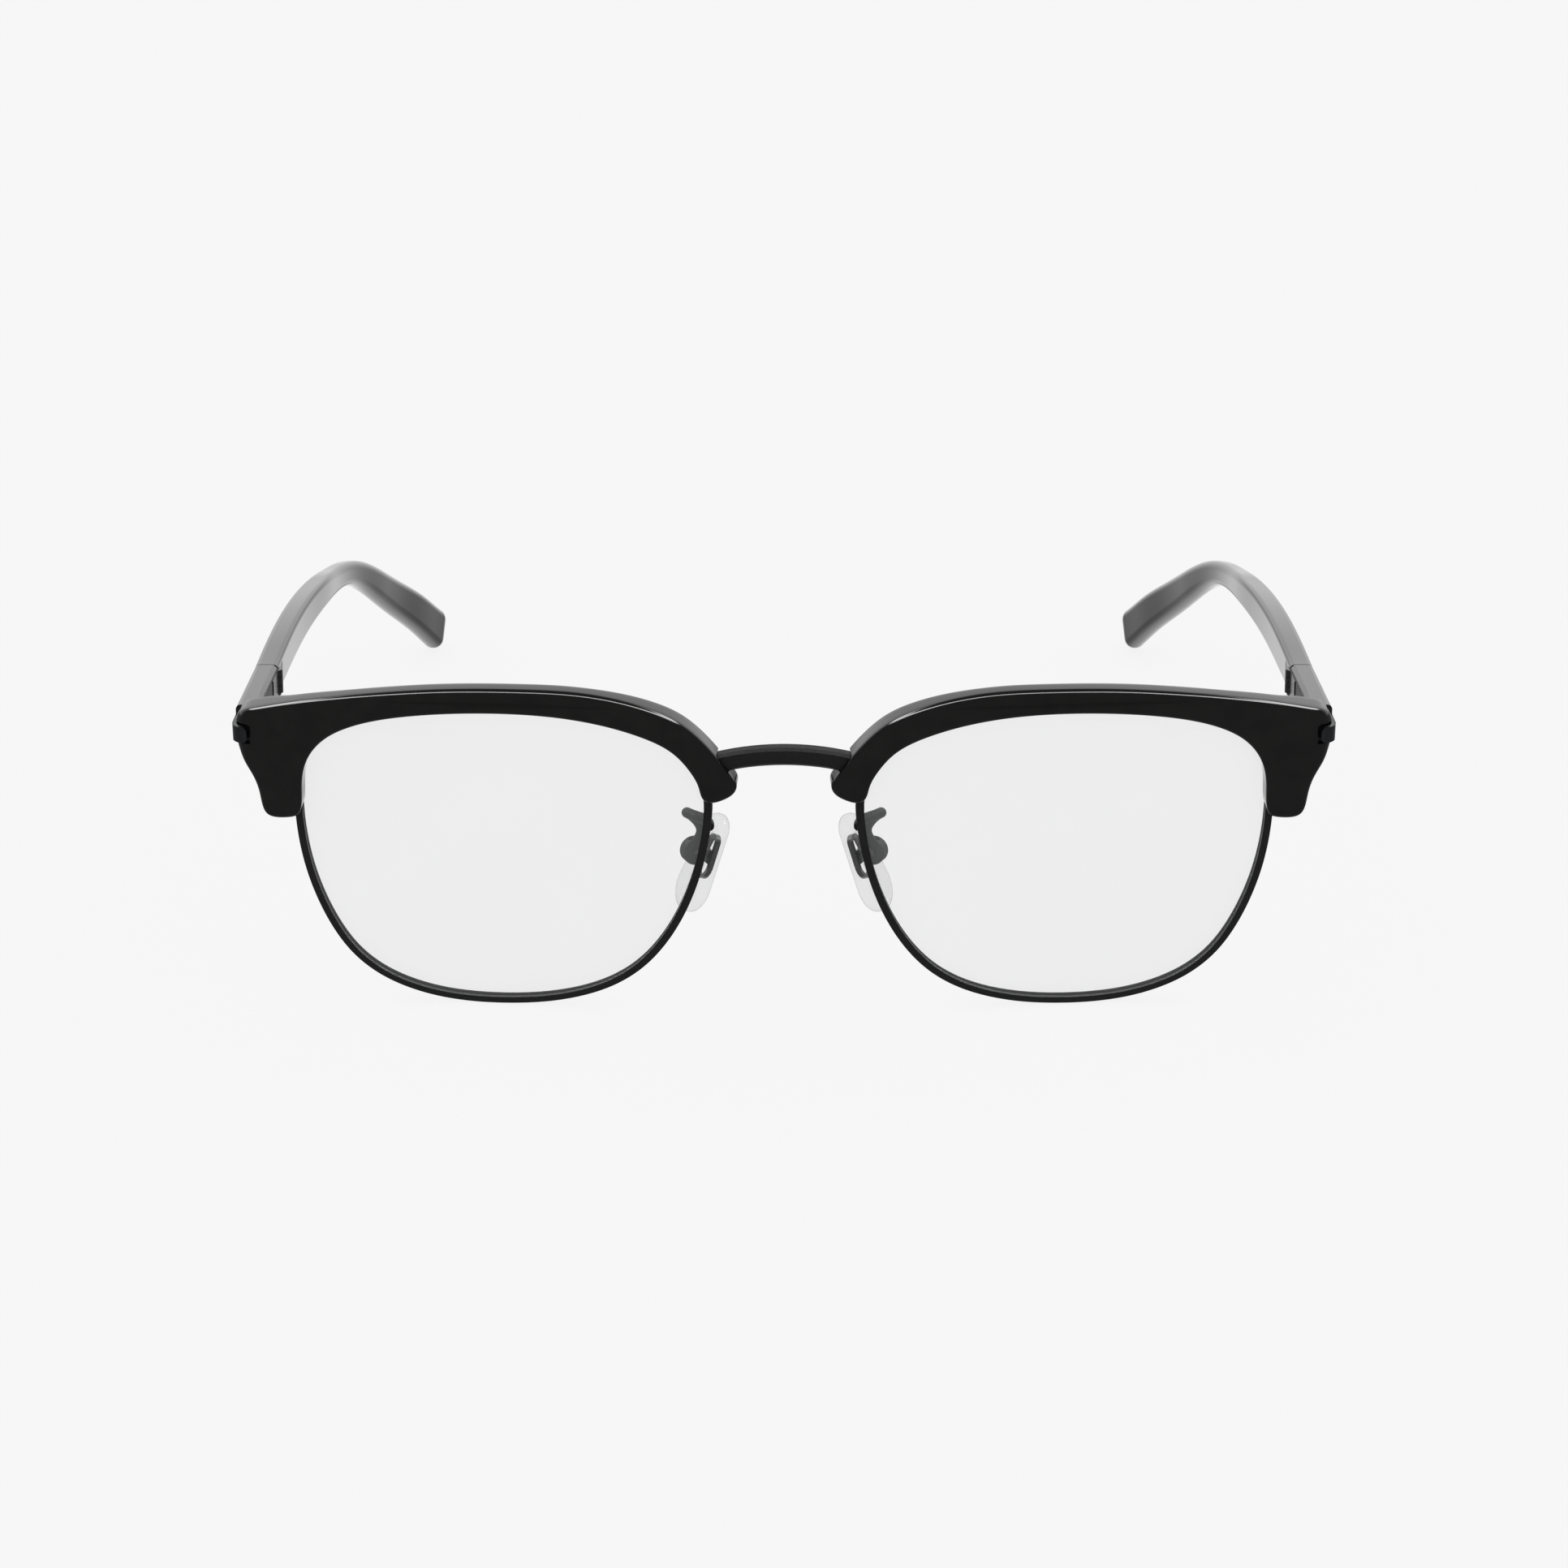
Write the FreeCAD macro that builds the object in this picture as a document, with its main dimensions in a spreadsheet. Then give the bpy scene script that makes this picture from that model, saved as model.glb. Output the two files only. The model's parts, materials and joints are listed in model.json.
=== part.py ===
import FreeCAD, Part
import math
import os

import Sketcher
from FreeCAD import Placement, Rotation, Vector

# Browline eyeglasses, open, standing on the rims' undersides and the temples' tips.
# Row frame: +X to the wearer's left, +Y to the wearer (back), +Z up, origin under the middle
# of the whole object, at the height of the surface that it stands on.
# SIDES: -1 is the wearer's right half (at -X), +1 the wearer's left half (at +X).

os.makedirs("parts", exist_ok=True)
doc = FreeCAD.newDocument("eyeglasses")

SIDES = {"right": -1, "left": 1}
X_AXIS = Vector(1, 0, 0)
Y_AXIS = Vector(0, 1, 0)
Z_AXIS = Vector(0, 0, 1)

# ---------------------------------------------------------------- driving dimensions
SIZES = [
    # how the front stands
    ("datum_height", 22.705),       # height of the lenses' datum line over the table
    ("depth_shift", -73.51),        # moves the front so that the origin is in the middle
    ("front_lean", 4.7),            # the lenses' lower edges lie further back, degrees
    ("front_wrap", 4.0),            # each lens turned round the face, degrees
    ("lens_centre_x", 36.3),
    ("base_radius", 130.0),         # lens base curve
    # lens and eyewire
    ("lens_thickness", 1.6),
    ("bevel_height", 0.4),
    ("bevel_thickness", 0.6),
    ("rim_width", 1.05),            # across, seen from the front
    ("rim_depth", 1.4),             # front to back
    ("rim_rounding", 0.22),
    ("rim_split", 0.14),
    # brow
    ("brow_front", 2.3),            # front face, ahead of the lens's middle surface
    ("brow_back", 1.25),            # back face, behind the lens's middle surface
    ("brow_rounding", 0.55),
    ("rabbet_clearance", 0.03),
    # bridge
    ("bridge_radius", 35.5),
    ("bridge_top", 14.25),
    ("bridge_height", 2.45),
    ("bridge_front", 0.2),
    ("bridge_depth", 1.5),
    ("bridge_half_span", 13.0),
    ("bridge_bevel", 0.35),
    # hinge and bar, in the temple frame whose origin is on the hinge axis
    ("pivot_x", 67.45),
    ("pivot_y", 26.5),
    ("pivot_height", 36.55),
    ("temple_drop", 3.0),           # the temple falls towards the back, degrees
    ("bar_thickness", 3.15),
    ("bar_corner", 0.75),
    ("pivot_inset", 0.45),          # hinge axis outward of the bar's inner face
    ("seam_gap", 0.2),
    ("barrel_radius", 1.0),
    ("barrel_clearance", 0.12),
    ("leaf_thickness", 0.9),
    ("front_leaf_length", 6.0),
    ("rear_leaf_length", 4.6),
    ("leaf_height", 3.2),
    ("rear_leaf_height", 2.9),
    ("tongue_height", 1.1),
    ("tongue_gap", 0.05),
    ("hinge_screw_radius", 0.45),
    ("hinge_screw_clearance", 0.03),
    ("hinge_head_radius", 0.72),
    ("hinge_head_height", 0.35),
    ("hinge_slot_width", 0.2),
    ("hinge_slot_depth", 0.15),
    ("driver_depth", 3.0),          # hole below the hinge for its screw and the driver
    ("driver_clearance", 0.05),
    ("driver_overlap", 0.2),
    ("core_radius", 0.6),
    # nose pads, in the pad frame whose origin is on the pad's screw
    ("pad_x", 11.65),
    ("pad_y", 8.0),
    ("pad_height", 19.6),
    ("pad_splay", 24.0),
    ("pad_tilt", 24.0),
    ("pad_thickness", 1.9),
    ("pad_rounding", 0.8),
    ("pad_face", 0.9),              # pad's outer face, from the screw's axis
    ("pad_low_radius", 3.6),
    ("pad_low_centre", -4.45),
    ("pad_top_radius", 2.5),
    ("pad_top_centre", 3.15),
    ("insert_low_radius", 1.5),
    ("insert_low_centre", -1.8),
    ("insert_top_radius", 1.1),
    ("insert_top_centre", 2.05),
    ("insert_thickness", 0.5),
    ("boss_radius", 0.75),
    ("boss_thickness", 0.7),
    ("pad_screw_radius", 0.32),
    ("pad_screw_clearance", 0.03),
    ("pad_box_wall", 0.4),
    ("pad_box_radius", 1.8),
    ("pad_box_front", 0.45),
    ("pad_box_gap", 0.06),
    ("pad_box_rounding", 0.2),
    ("pad_head_radius", 0.55),
    ("pad_head_height", 0.3),
    ("arm_radius", 0.7),
    # small screws
    ("small_screw_radius", 0.5),
    ("small_head_radius", 0.9),
    ("small_head_height", 0.5),
    ("small_slot_width", 0.24),
    ("small_slot_depth", 0.2),
]

sheet = doc.addObject("Spreadsheet::Sheet", "sizes")
for row, (alias, value) in enumerate(SIZES, start=1):
    sheet.set("A%d" % row, alias)
    sheet.set("B%d" % row, str(value))
    sheet.setAlias("B%d" % row, alias)
doc.recompute()


def size(alias):
    return float(sheet.get(alias))


# ---------------------------------------------------------------- the frames
FRONT_FRAME = Placement(Vector(0, size("depth_shift"), size("datum_height")),
                        Rotation(X_AXIS, size("front_lean")))


def lens_frame(side):
    """Origin at the lens's centre, Y to the back; the temporal side is at side * x > 0."""
    turn = Placement(Vector(side * size("lens_centre_x"), 0, 0),
                     Rotation(Z_AXIS, side * size("front_wrap")))
    return FRONT_FRAME.multiply(turn)


def temple_frame(side):
    """Origin on the hinge axis (Z), Y back along the temple; outward is side * x > 0."""
    pivot = Vector(side * size("pivot_x"), size("pivot_y") + size("depth_shift"), size("pivot_height"))
    return Placement(pivot, Rotation(X_AXIS, -size("temple_drop")))


def pad_frame(side):
    """Origin on the pad's screw, Y to the nose, Z up the pad; side * x goes to the back."""
    splay = math.radians(size("pad_splay"))
    along = Vector(math.sin(splay), side * math.cos(splay), 0)
    to_nose = Vector(-side * math.cos(splay), math.sin(splay), 0)
    tilt = math.radians(size("pad_tilt"))
    up = Z_AXIS * math.cos(tilt) + to_nose * math.sin(tilt)
    normal = to_nose * math.cos(tilt) - Z_AXIS * math.sin(tilt)
    origin = Vector(side * size("pad_x"), size("pad_y") + size("depth_shift"), size("pad_height"))
    return Placement(origin, Rotation(along, normal, up, "ZXY"))


# ---------------------------------------------------------------- building helpers
def feature(name, shape):
    item = doc.addObject("Part::Feature", name)
    item.Shape = shape
    return item


def primitive(kind, name, sizes, place=Placement()):
    """A Part primitive whose sizes are bound to the sheet, such as Radius='rim_width / 2'."""
    item = doc.addObject("Part::" + kind, name)
    for prop, text in sizes.items():
        item.setExpression(prop, text)
    item.Placement = place
    return item


def cut(name, base, *tools):
    item = doc.addObject("Part::Cut", name)
    item.Base = base
    item.Tool = tools[0] if len(tools) == 1 else fuse(name + "_tools", *tools)
    return item


def fuse(name, *pieces):
    item = doc.addObject("Part::MultiFuse", name)
    item.Shapes = list(pieces)
    return item


def common(name, base, tool):
    item = doc.addObject("Part::Common", name)
    item.Base = base
    item.Tool = tool
    return item


SUBPARTS = []


def finish(item, label, place):
    """The last object of a sub-part: its label is the node's name."""
    item.Label = label
    item.Placement = place
    SUBPARTS.append(item)
    return item


def body_sketch(body, name, role, geometry):
    sketch = body.newObject("Sketcher::SketchObject", name)
    plane = [f for f in body.Origin.OriginFeatures if f.Role == role][0]
    sketch.AttachmentSupport = [(plane, "")]
    sketch.MapMode = "FlatFace"
    for curve in geometry:
        sketch.addGeometry(curve, False)
    return sketch


def rectangle(sketch, low, high, width_text, height_text):
    """A rectangle from its low corner; its width and height are bound to the sheet."""
    corners = [Vector(low[0], low[1], 0), Vector(high[0], low[1], 0),
               Vector(high[0], high[1], 0), Vector(low[0], high[1], 0)]
    first = sketch.GeometryCount
    for a, b in zip(corners, corners[1:] + corners[:1]):
        sketch.addGeometry(Part.LineSegment(a, b), False)
    for k in range(4):
        sketch.addConstraint(Sketcher.Constraint("Coincident", first + k, 2, first + (k + 1) % 4, 1))
        sketch.addConstraint(Sketcher.Constraint("Horizontal" if k % 2 == 0 else "Vertical", first + k))
    for kind, text, span in (("DistanceX", width_text, high[0] - low[0]),
                             ("DistanceY", height_text, high[1] - low[1])):
        line = first if kind == "DistanceX" else first + 1
        number = sketch.addConstraint(Sketcher.Constraint(kind, line, 1, line, 2, span))
        sketch.setExpression("Constraints[%d]" % number, text)
    for kind, value in (("DistanceX", low[0]), ("DistanceY", low[1])):
        sketch.addConstraint(Sketcher.Constraint(kind, first, 1, value))


def circle(sketch, radius_text, radius):
    """A circle about the sketch's origin; its radius is bound to the sheet."""
    number = sketch.addGeometry(Part.Circle(Vector(0, 0, 0), Z_AXIS, radius), False)
    sketch.addConstraint(Sketcher.Constraint("Coincident", number, 3, -1, 1))
    bound = sketch.addConstraint(Sketcher.Constraint("Radius", number, radius))
    sketch.setExpression("Constraints[%d]" % bound, radius_text)


def pad_both_ways(body, name, sketch, length_text):
    pad = body.newObject("PartDesign::Pad", name)
    pad.Profile = sketch
    pad.Midplane = True
    pad.setExpression("Length", length_text)
    return pad


def pocket_both_ways(body, name, sketch, length_text):
    pocket = body.newObject("PartDesign::Pocket", name)
    pocket.Profile = sketch
    pocket.Midplane = True
    pocket.setExpression("Length", length_text)
    return pocket


# ---------------------------------------------------------------- lens outline
# Half of the opening seen from the front, in the lens frame: (towards the temple, up).
OPENING = [(25.8, 4.0), (25.35, -1.0), (22.75, -10.1), (18.1, -17.1), (11.0, -20.75),
           (1.0, -21.85), (-8.0, -20.95), (-15.6, -17.75), (-21.0, -11.6), (-24.15, -4.4),
           (-25.75, 3.0), (-25.55, 9.3), (-22.5, 14.5), (-13.2, 18.5), (0.0, 19.95),
           (12.6, 18.95), (20.0, 16.85), (24.3, 13.6), (25.75, 9.0)]
OUTLINE_STATIONS = 36
OUTLINE_EDGES = 4
PRISM_HALF_DEPTH = 15.0


def opening_curve(side):
    curve = Part.BSplineCurve()
    curve.interpolate([Vector(side * a, 0, b) for a, b in OPENING], PeriodicFlag=True)
    return curve


def outline_prism(side, offset):
    """A prism through the front whose outline stands `offset` outside the lens opening."""
    curve = opening_curve(side)
    first, last = curve.FirstParameter, curve.LastParameter
    points = []
    for k in range(OUTLINE_STATIONS):
        parameter = first + (last - first) * k / OUTLINE_STATIONS
        tangent = curve.tangent(parameter)[0]
        outward = tangent.cross(Y_AXIS).normalize() * side
        points.append(curve.value(parameter) + outward * offset)
    ring = Part.BSplineCurve()
    ring.interpolate(points, PeriodicFlag=True)
    first, last = ring.FirstParameter, ring.LastParameter
    marks = [first + (last - first) * k / OUTLINE_EDGES for k in range(OUTLINE_EDGES + 1)]
    face = Part.Face(Part.Wire([ring.toShape(a, b) for a, b in zip(marks, marks[1:])]))
    face.translate(Y_AXIS * -PRISM_HALF_DEPTH)
    return face.extrude(Y_AXIS * (2 * PRISM_HALF_DEPTH))


def ball(name, radius_text):
    """A ball about the centre of the lens's curves."""
    place = Placement(Vector(0, size("base_radius"), 0), Rotation())
    return primitive("Sphere", name, {"Radius": radius_text}, place)


def curved_slab(name, prism, front_text, back_text):
    """The prism between two spherical faces: front_text ahead of and back_text behind the
    lens's middle surface."""
    front_ball = ball(name + "_front_ball", "sizes.base_radius + " + front_text)
    back_ball = ball(name + "_back_ball", "sizes.base_radius - " + back_text)
    return cut(name, common(name + "_front", prism, front_ball), back_ball)


# ---------------------------------------------------------------- lens and eyewire
CLOSING_HEIGHT = 7.0        # where the eyewire is split, above the datum line
CLOSING_INNER = 26.87       # the closing blocks stand outside the eyewire
CLOSING_OUTER = 28.9
CLOSING_FRONT = 2.2
CLOSING_BACK = 4.4
CLOSING_ROOT = 0.6          # the blocks start this much further in, and the eyewire trims them
BLOCK_RISE = 2.2            # each closing block's height
EAR_OUTER = 31.1            # the upper block's ear takes the brow's screw
EAR_FRONT = 3.3
EAR_BACK = 4.1
EAR_ROOT = 0.5              # the ear starts this far inside its block
SCREW_ACROSS = 27.95        # the closing screw's place, outward from the lens's centre
SCREW_BACK = 3.35
SCREW_SETBACK = 0.3         # the closing screw ends this far under the upper block's top
HEAD_TRIM = 0.05            # its head is this much smaller than the other small screws'
EAR_SCREW_ACROSS = 30.1
EAR_SCREW_UP = 8.2
EAR_SCREW_FRONT = 2.2
EYEWIRE_CUT_ACROSS = (24.0, 30.0)
EYEWIRE_CUT_DEPTH = (-5.0, 10.0)
THROUGH_BROW = 8.0          # length of the screw holes' cutting rods


def make_lens(side, word):
    clear = feature("lens_blank_" + word, outline_prism(side, 0.0))
    half = "sizes.lens_thickness / 2"
    plate = curved_slab("lens_plate_" + word, clear, half, half)
    edge = feature("bevel_blank_" + word, outline_prism(side, size("bevel_height")))
    half = "sizes.bevel_thickness / 2"
    bevel = curved_slab("lens_bevel_" + word, edge, half, half)
    finish(fuse("lens_joined_" + word, plate, bevel), "lens_" + word, lens_frame(side))


def make_rim(side, word):
    """The eyewire: a curved ring with a groove for the lens's bevel, split at its closing blocks."""
    outer = feature("rim_outer_" + word, outline_prism(side, size("rim_width")))
    slab = curved_slab("rim_slab_" + word, outer, "sizes.rim_depth / 2", "sizes.rim_depth / 2")
    opening = feature("rim_opening_" + word, outline_prism(side, 0.0))
    ring = cut("rim_ring_" + word, slab, opening)
    groove_blank = feature("groove_blank_" + word, outline_prism(side, size("bevel_height")))
    half = "sizes.bevel_thickness / 2"
    groove = curved_slab("groove_" + word, groove_blank, half, half)
    grooved = cut("rim_grooved_" + word, ring, groove)
    doc.recompute()
    rounded = doc.addObject("Part::Fillet", "rim_rounded_" + word)
    rounded.Base = grooved
    radius = size("rim_rounding")
    half_depth = size("rim_depth") / 2
    faces = (size("base_radius") + half_depth, size("base_radius") - half_depth)
    rounded.Edges = [(k, radius, radius) for k, edge in enumerate(grooved.Shape.Edges, start=1)
                     if on_ball(edge, faces[0]) or on_ball(edge, faces[1])]
    half_gap = size("rim_split") / 2
    split = feature("rim_split_" + word, block(side, EYEWIRE_CUT_ACROSS, EYEWIRE_CUT_DEPTH,
                                               (CLOSING_HEIGHT - half_gap, CLOSING_HEIGHT + half_gap)))
    finish(cut("rim_cut_" + word, rounded, split), "rim_" + word, lens_frame(side))


def block(side, across, depth, height):
    """A box between outward distances, depths and heights on one side."""
    low = min(side * across[0], side * across[1])
    return Part.makeBox(abs(across[1] - across[0]), depth[1] - depth[0], height[1] - height[0],
                        Vector(low, depth[0], height[0]))


def rod(radius, start, end):
    direction = end - start
    return Part.makeCylinder(radius, direction.Length, start, direction)


def closing_screw_shape(side, clearance):
    """Shank and head of the screw that closes the eyewire, from below."""
    axis_x = side * SCREW_ACROSS
    bottom = CLOSING_HEIGHT - size("rim_split") / 2 - BLOCK_RISE
    top = CLOSING_HEIGHT + BLOCK_RISE - SCREW_SETBACK
    shank = rod(size("small_screw_radius") + clearance, Vector(axis_x, SCREW_BACK, bottom),
                Vector(axis_x, SCREW_BACK, top))
    head = rod(size("small_head_radius") - HEAD_TRIM,
               Vector(axis_x, SCREW_BACK, bottom - size("small_head_height")),
               Vector(axis_x, SCREW_BACK, bottom))
    return shank.fuse(head)


def ear_screw_hole(side):
    """Hole for the brow's outer screw, through the upper block's ear into the brow."""
    start = Vector(side * EAR_SCREW_ACROSS, EAR_SCREW_FRONT, EAR_SCREW_UP)
    return rod(size("small_screw_radius"), start, start + Y_AXIS * THROUGH_BROW)


def make_closing_blocks(side, word):
    """Two blocks brazed to the eyewire's ends behind the brow's lug, and the screw through both."""
    half_gap = size("rim_split") / 2
    rim_face = outline_prism(side, size("rim_width"))
    screw = closing_screw_shape(side, 0.0)
    across = (CLOSING_INNER - CLOSING_ROOT, CLOSING_OUTER)
    upper_height = (CLOSING_HEIGHT + half_gap, CLOSING_HEIGHT + BLOCK_RISE)
    lower_end = CLOSING_HEIGHT - half_gap - BLOCK_RISE
    upper = block(side, across, (CLOSING_FRONT, CLOSING_BACK), upper_height)
    ear = block(side, (CLOSING_OUTER - EAR_ROOT, EAR_OUTER), (EAR_FRONT, EAR_BACK), upper_height)
    upper = upper.fuse(ear).cut(rim_face).cut(screw).cut(ear_screw_hole(side))
    lower = block(side, across, (CLOSING_FRONT, CLOSING_BACK), (lower_end, CLOSING_HEIGHT - half_gap))
    lower = lower.cut(rim_face).cut(screw)
    frame = lens_frame(side)
    finish(feature("closing_upper_" + word, upper), "closing_block_upper_" + word, frame)
    finish(feature("closing_lower_" + word, lower), "closing_block_lower_" + word, frame)
    half_slot = size("small_slot_width") / 2
    slot_end = lower_end - size("small_head_height")
    slot = block(side, (CLOSING_INNER, CLOSING_OUTER), (SCREW_BACK - half_slot, SCREW_BACK + half_slot),
                 (slot_end, slot_end + size("small_slot_depth")))
    finish(feature("closing_screw_shape_" + word, screw.cut(slot)), "closing_screw_" + word, frame)


# ---------------------------------------------------------------- brow
# The brow's outline, in the lens frame: (towards the temple, up), from the tip at the nose
# along the top, down the temporal lug and back along the lens.
BROW_OUTLINE = [(-30.3, 9.1), (-29.6, 10.5), (-28.0, 12.85), (-26.3, 15.0), (-23.4, 17.75),
                (-19.3, 19.95), (-15.2, 21.3), (-9.1, 22.35), (-3.0, 22.6), (5.3, 22.4),
                (13.6, 21.55), (22.1, 20.1), (27.5, 18.85), (32.2, 17.5), (33.7, 16.8),
                (34.3, 15.6), (34.2, 12.6), (33.4, 10.5), (32.1, 8.4), (31.35, 6.3),
                (31.0, 4.3), (30.5, 3.3), (29.3, 3.0), (27.2, 3.3), (26.2, 3.7),
                (25.75, 4.8), (25.6, 7.8), (24.85, 11.3), (22.3, 14.55), (19.3, 16.3),
                (12.5, 18.25), (5.2, 19.15), (-3.0, 19.3), (-7.1, 19.0), (-13.2, 17.9),
                (-18.3, 16.2), (-22.3, 13.85), (-24.4, 11.3), (-25.5, 8.9), (-26.0, 7.4),
                (-26.9, 7.0), (-28.6, 7.35), (-29.85, 8.05)]
# The outline is cut into edges at these points.
BROW_BREAKS = [0, 12, 14, 19, 21]
TAB_HEIGHT = 14.15          # middle of the corner tab, over the datum line
TAB_HALF_HEIGHT = 1.1
TAB_PROUD = 0.42            # how far it stands off the brow
TAB_DEPTH = 0.62            # its thickness
TAB_BEND = 1.6              # outer radius where it turns the corner
TAB_ACROSS = 34.28          # the brow's outer side, from the lens's centre
TAB_FRONT = 2.62            # the brow's front face at the corner
TAB_INNER_END = 32.6
TAB_INNER_LEAN = 0.32       # its inner end stands this much further forward
TAB_REAR_END = 6.4
TAB_END_ROUNDING = 0.8
POCKET_CLEARANCE = 0.06
POCKET_BACK = 9.0           # the pockets run out of the brow's back
POCKET_BELOW = 0.7          # room under the lower block for the closing screw's head
DRIVER_REACH = 6.0          # the driver's hole ends here, over the datum line
BRIDGE_CLEARANCE = 0.05
SCREW_END_ROOM = 0.05       # a hole is this much deeper than its screw
BRIDGE_SCREW_X = 9.2        # brow's inner screw, from the middle of the face
BRIDGE_SCREW_UP = 12.0
BRIDGE_SCREW_FRONT = -0.25


def brow_prism(side):
    curve = Part.BSplineCurve()
    curve.interpolate([Vector(side * a, 0, b) for a, b in BROW_OUTLINE], PeriodicFlag=True)
    breaks = [Vector(side * BROW_OUTLINE[k][0], 0, BROW_OUTLINE[k][1]) for k in BROW_BREAKS]
    marks = [curve.parameter(point) for point in breaks]
    marks[0] = curve.FirstParameter
    marks.append(curve.LastParameter)
    edges = [curve.toShape(a, b) for a, b in zip(marks, marks[1:])]
    face = Part.Face(Part.Wire(edges))
    face.translate(Y_AXIS * -PRISM_HALF_DEPTH)
    return face.extrude(Y_AXIS * (2 * PRISM_HALF_DEPTH))


def on_ball(edge, radius):
    """True where the edge lies on the ball of this radius about the lens's centre of curvature."""
    centre = Vector(0, size("base_radius"), 0)
    ends = [edge.valueAt(edge.FirstParameter), edge.valueAt(edge.LastParameter),
            edge.valueAt((edge.FirstParameter + edge.LastParameter) / 2)]
    return all(abs(point.distanceToPoint(centre) - radius) < 0.01 for point in ends)


def corner_tab_plan(side):
    """Plan outline of the strip that wraps the brow's outer corner."""
    outer = TAB_ACROSS + TAB_PROUD
    front = TAB_FRONT - TAB_PROUD
    depth = TAB_DEPTH
    bend = TAB_BEND
    quarter = math.sqrt(0.5)
    points = {
        "start": (TAB_INNER_END, front - TAB_INNER_LEAN), "turn_in": (outer - bend, front),
        "turn_mid": (outer - bend + bend * quarter, front + bend - bend * quarter),
        "turn_out": (outer, front + bend), "end": (outer, TAB_REAR_END),
        "end_in": (outer - depth, TAB_REAR_END),
        "back_out": (outer - depth, front + bend),
        "back_mid": (outer - bend + (bend - depth) * quarter,
                     front + bend - (bend - depth) * quarter),
        "back_in": (outer - bend, front + depth),
        "start_in": (TAB_INNER_END, front + depth - TAB_INNER_LEAN),
    }
    at = {name: Vector(side * a, b, 0) for name, (a, b) in points.items()}
    edges = [Part.makeLine(at["start"], at["turn_in"]),
             Part.Arc(at["turn_in"], at["turn_mid"], at["turn_out"]).toShape(),
             Part.makeLine(at["turn_out"], at["end"]), Part.makeLine(at["end"], at["end_in"]),
             Part.makeLine(at["end_in"], at["back_out"]),
             Part.Arc(at["back_out"], at["back_mid"], at["back_in"]).toShape(),
             Part.makeLine(at["back_in"], at["start_in"]), Part.makeLine(at["start_in"], at["start"])]
    return Part.Face(Part.Wire(edges))


def corner_tab_shape(side):
    """The strip, with the corners of its inner end rounded."""
    face = corner_tab_plan(side)
    face.translate(Z_AXIS * (TAB_HEIGHT - TAB_HALF_HEIGHT))
    strip = face.extrude(Z_AXIS * (2 * TAB_HALF_HEIGHT))
    ends = [edge for edge in strip.Edges
            if abs(edge.Length - TAB_DEPTH) < 0.01
            and abs(side * edge.CenterOfMass.x - TAB_INNER_END) < 0.01]
    return strip.makeFillet(TAB_END_ROUNDING, ends)


def make_brow(side, word):
    """Acetate bar: curved slab with a step at its back for the eyewire, pockets for the
    closing blocks and a slot for the bridge."""
    blank = feature("brow_blank_" + word, brow_prism(side))
    slab = curved_slab("brow_slab_" + word, blank, "sizes.brow_front", "sizes.brow_back")
    doc.recompute()
    rounded = doc.addObject("Part::Fillet", "brow_rounded_" + word)
    rounded.Base = slab
    soft = size("brow_rounding")
    rounded.Edges = [(k, soft, soft) for k, edge in enumerate(slab.Shape.Edges, start=1)
                     if on_ball(edge, size("base_radius") + size("brow_front"))]
    outline = outline_prism(side, size("rim_width") + size("rabbet_clearance"))
    step_face = "sizes.base_radius + sizes.lens_thickness / 2 + sizes.rabbet_clearance"
    step = common("brow_step_" + word, feature("step_prism_" + word, outline),
                  ball("brow_step_ball_" + word, step_face))
    half_gap = size("rim_split") / 2
    clear = POCKET_CLEARANCE
    pocket_top = CLOSING_HEIGHT + BLOCK_RISE + clear
    pocket = block(side, (EYEWIRE_CUT_ACROSS[0], CLOSING_OUTER + clear),
                   (CLOSING_FRONT - clear, POCKET_BACK),
                   (CLOSING_HEIGHT - half_gap - BLOCK_RISE - POCKET_BELOW, pocket_top))
    ear_pocket = block(side, (CLOSING_OUTER - EAR_ROOT, EAR_OUTER + clear),
                       (EAR_FRONT - clear, POCKET_BACK), (CLOSING_HEIGHT + half_gap - clear, pocket_top))
    access = rod(size("small_head_radius"), Vector(side * SCREW_ACROSS, SCREW_BACK, 0),
                 Vector(side * SCREW_ACROSS, SCREW_BACK, DRIVER_REACH))
    rear_room = feature("brow_pockets_" + word, pocket.fuse([ear_pocket, access, ear_screw_hole(side)]))
    bridge_room = bridge_slot(side)
    bridge_room.Placement = lens_frame(side).inverse().multiply(FRONT_FRAME)
    tab_room = feature("tab_room_" + word, corner_tab_shape(side))
    finish(cut("brow_cut_" + word, rounded, step, rear_room,
               feature("bridge_room_" + word, bridge_room), tab_room),
           "brow_" + word, lens_frame(side))
    finish(feature("corner_tab_shape_" + word, corner_tab_shape(side)), "corner_tab_" + word,
           lens_frame(side))


# ---------------------------------------------------------------- bridge
def bridge_arc(radius, top, half_span):
    """Arc of the bridge's top or underside: sketch coordinates, apex at (0, top)."""
    end_height = top - radius + math.sqrt(radius ** 2 - half_span ** 2)
    return (Part.Arc(Vector(-half_span, end_height, 0), Vector(0, top, 0),
                     Vector(half_span, end_height, 0)), end_height)


def bridge_screw_hole(side):
    """Hole for the brow's inner screw, through the bridge into the brow's front wall."""
    start = Vector(side * BRIDGE_SCREW_X, BRIDGE_SCREW_FRONT - SCREW_END_ROOM, BRIDGE_SCREW_UP)
    return rod(size("small_screw_radius"), start, start + Y_AXIS * THROUGH_BROW)


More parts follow.
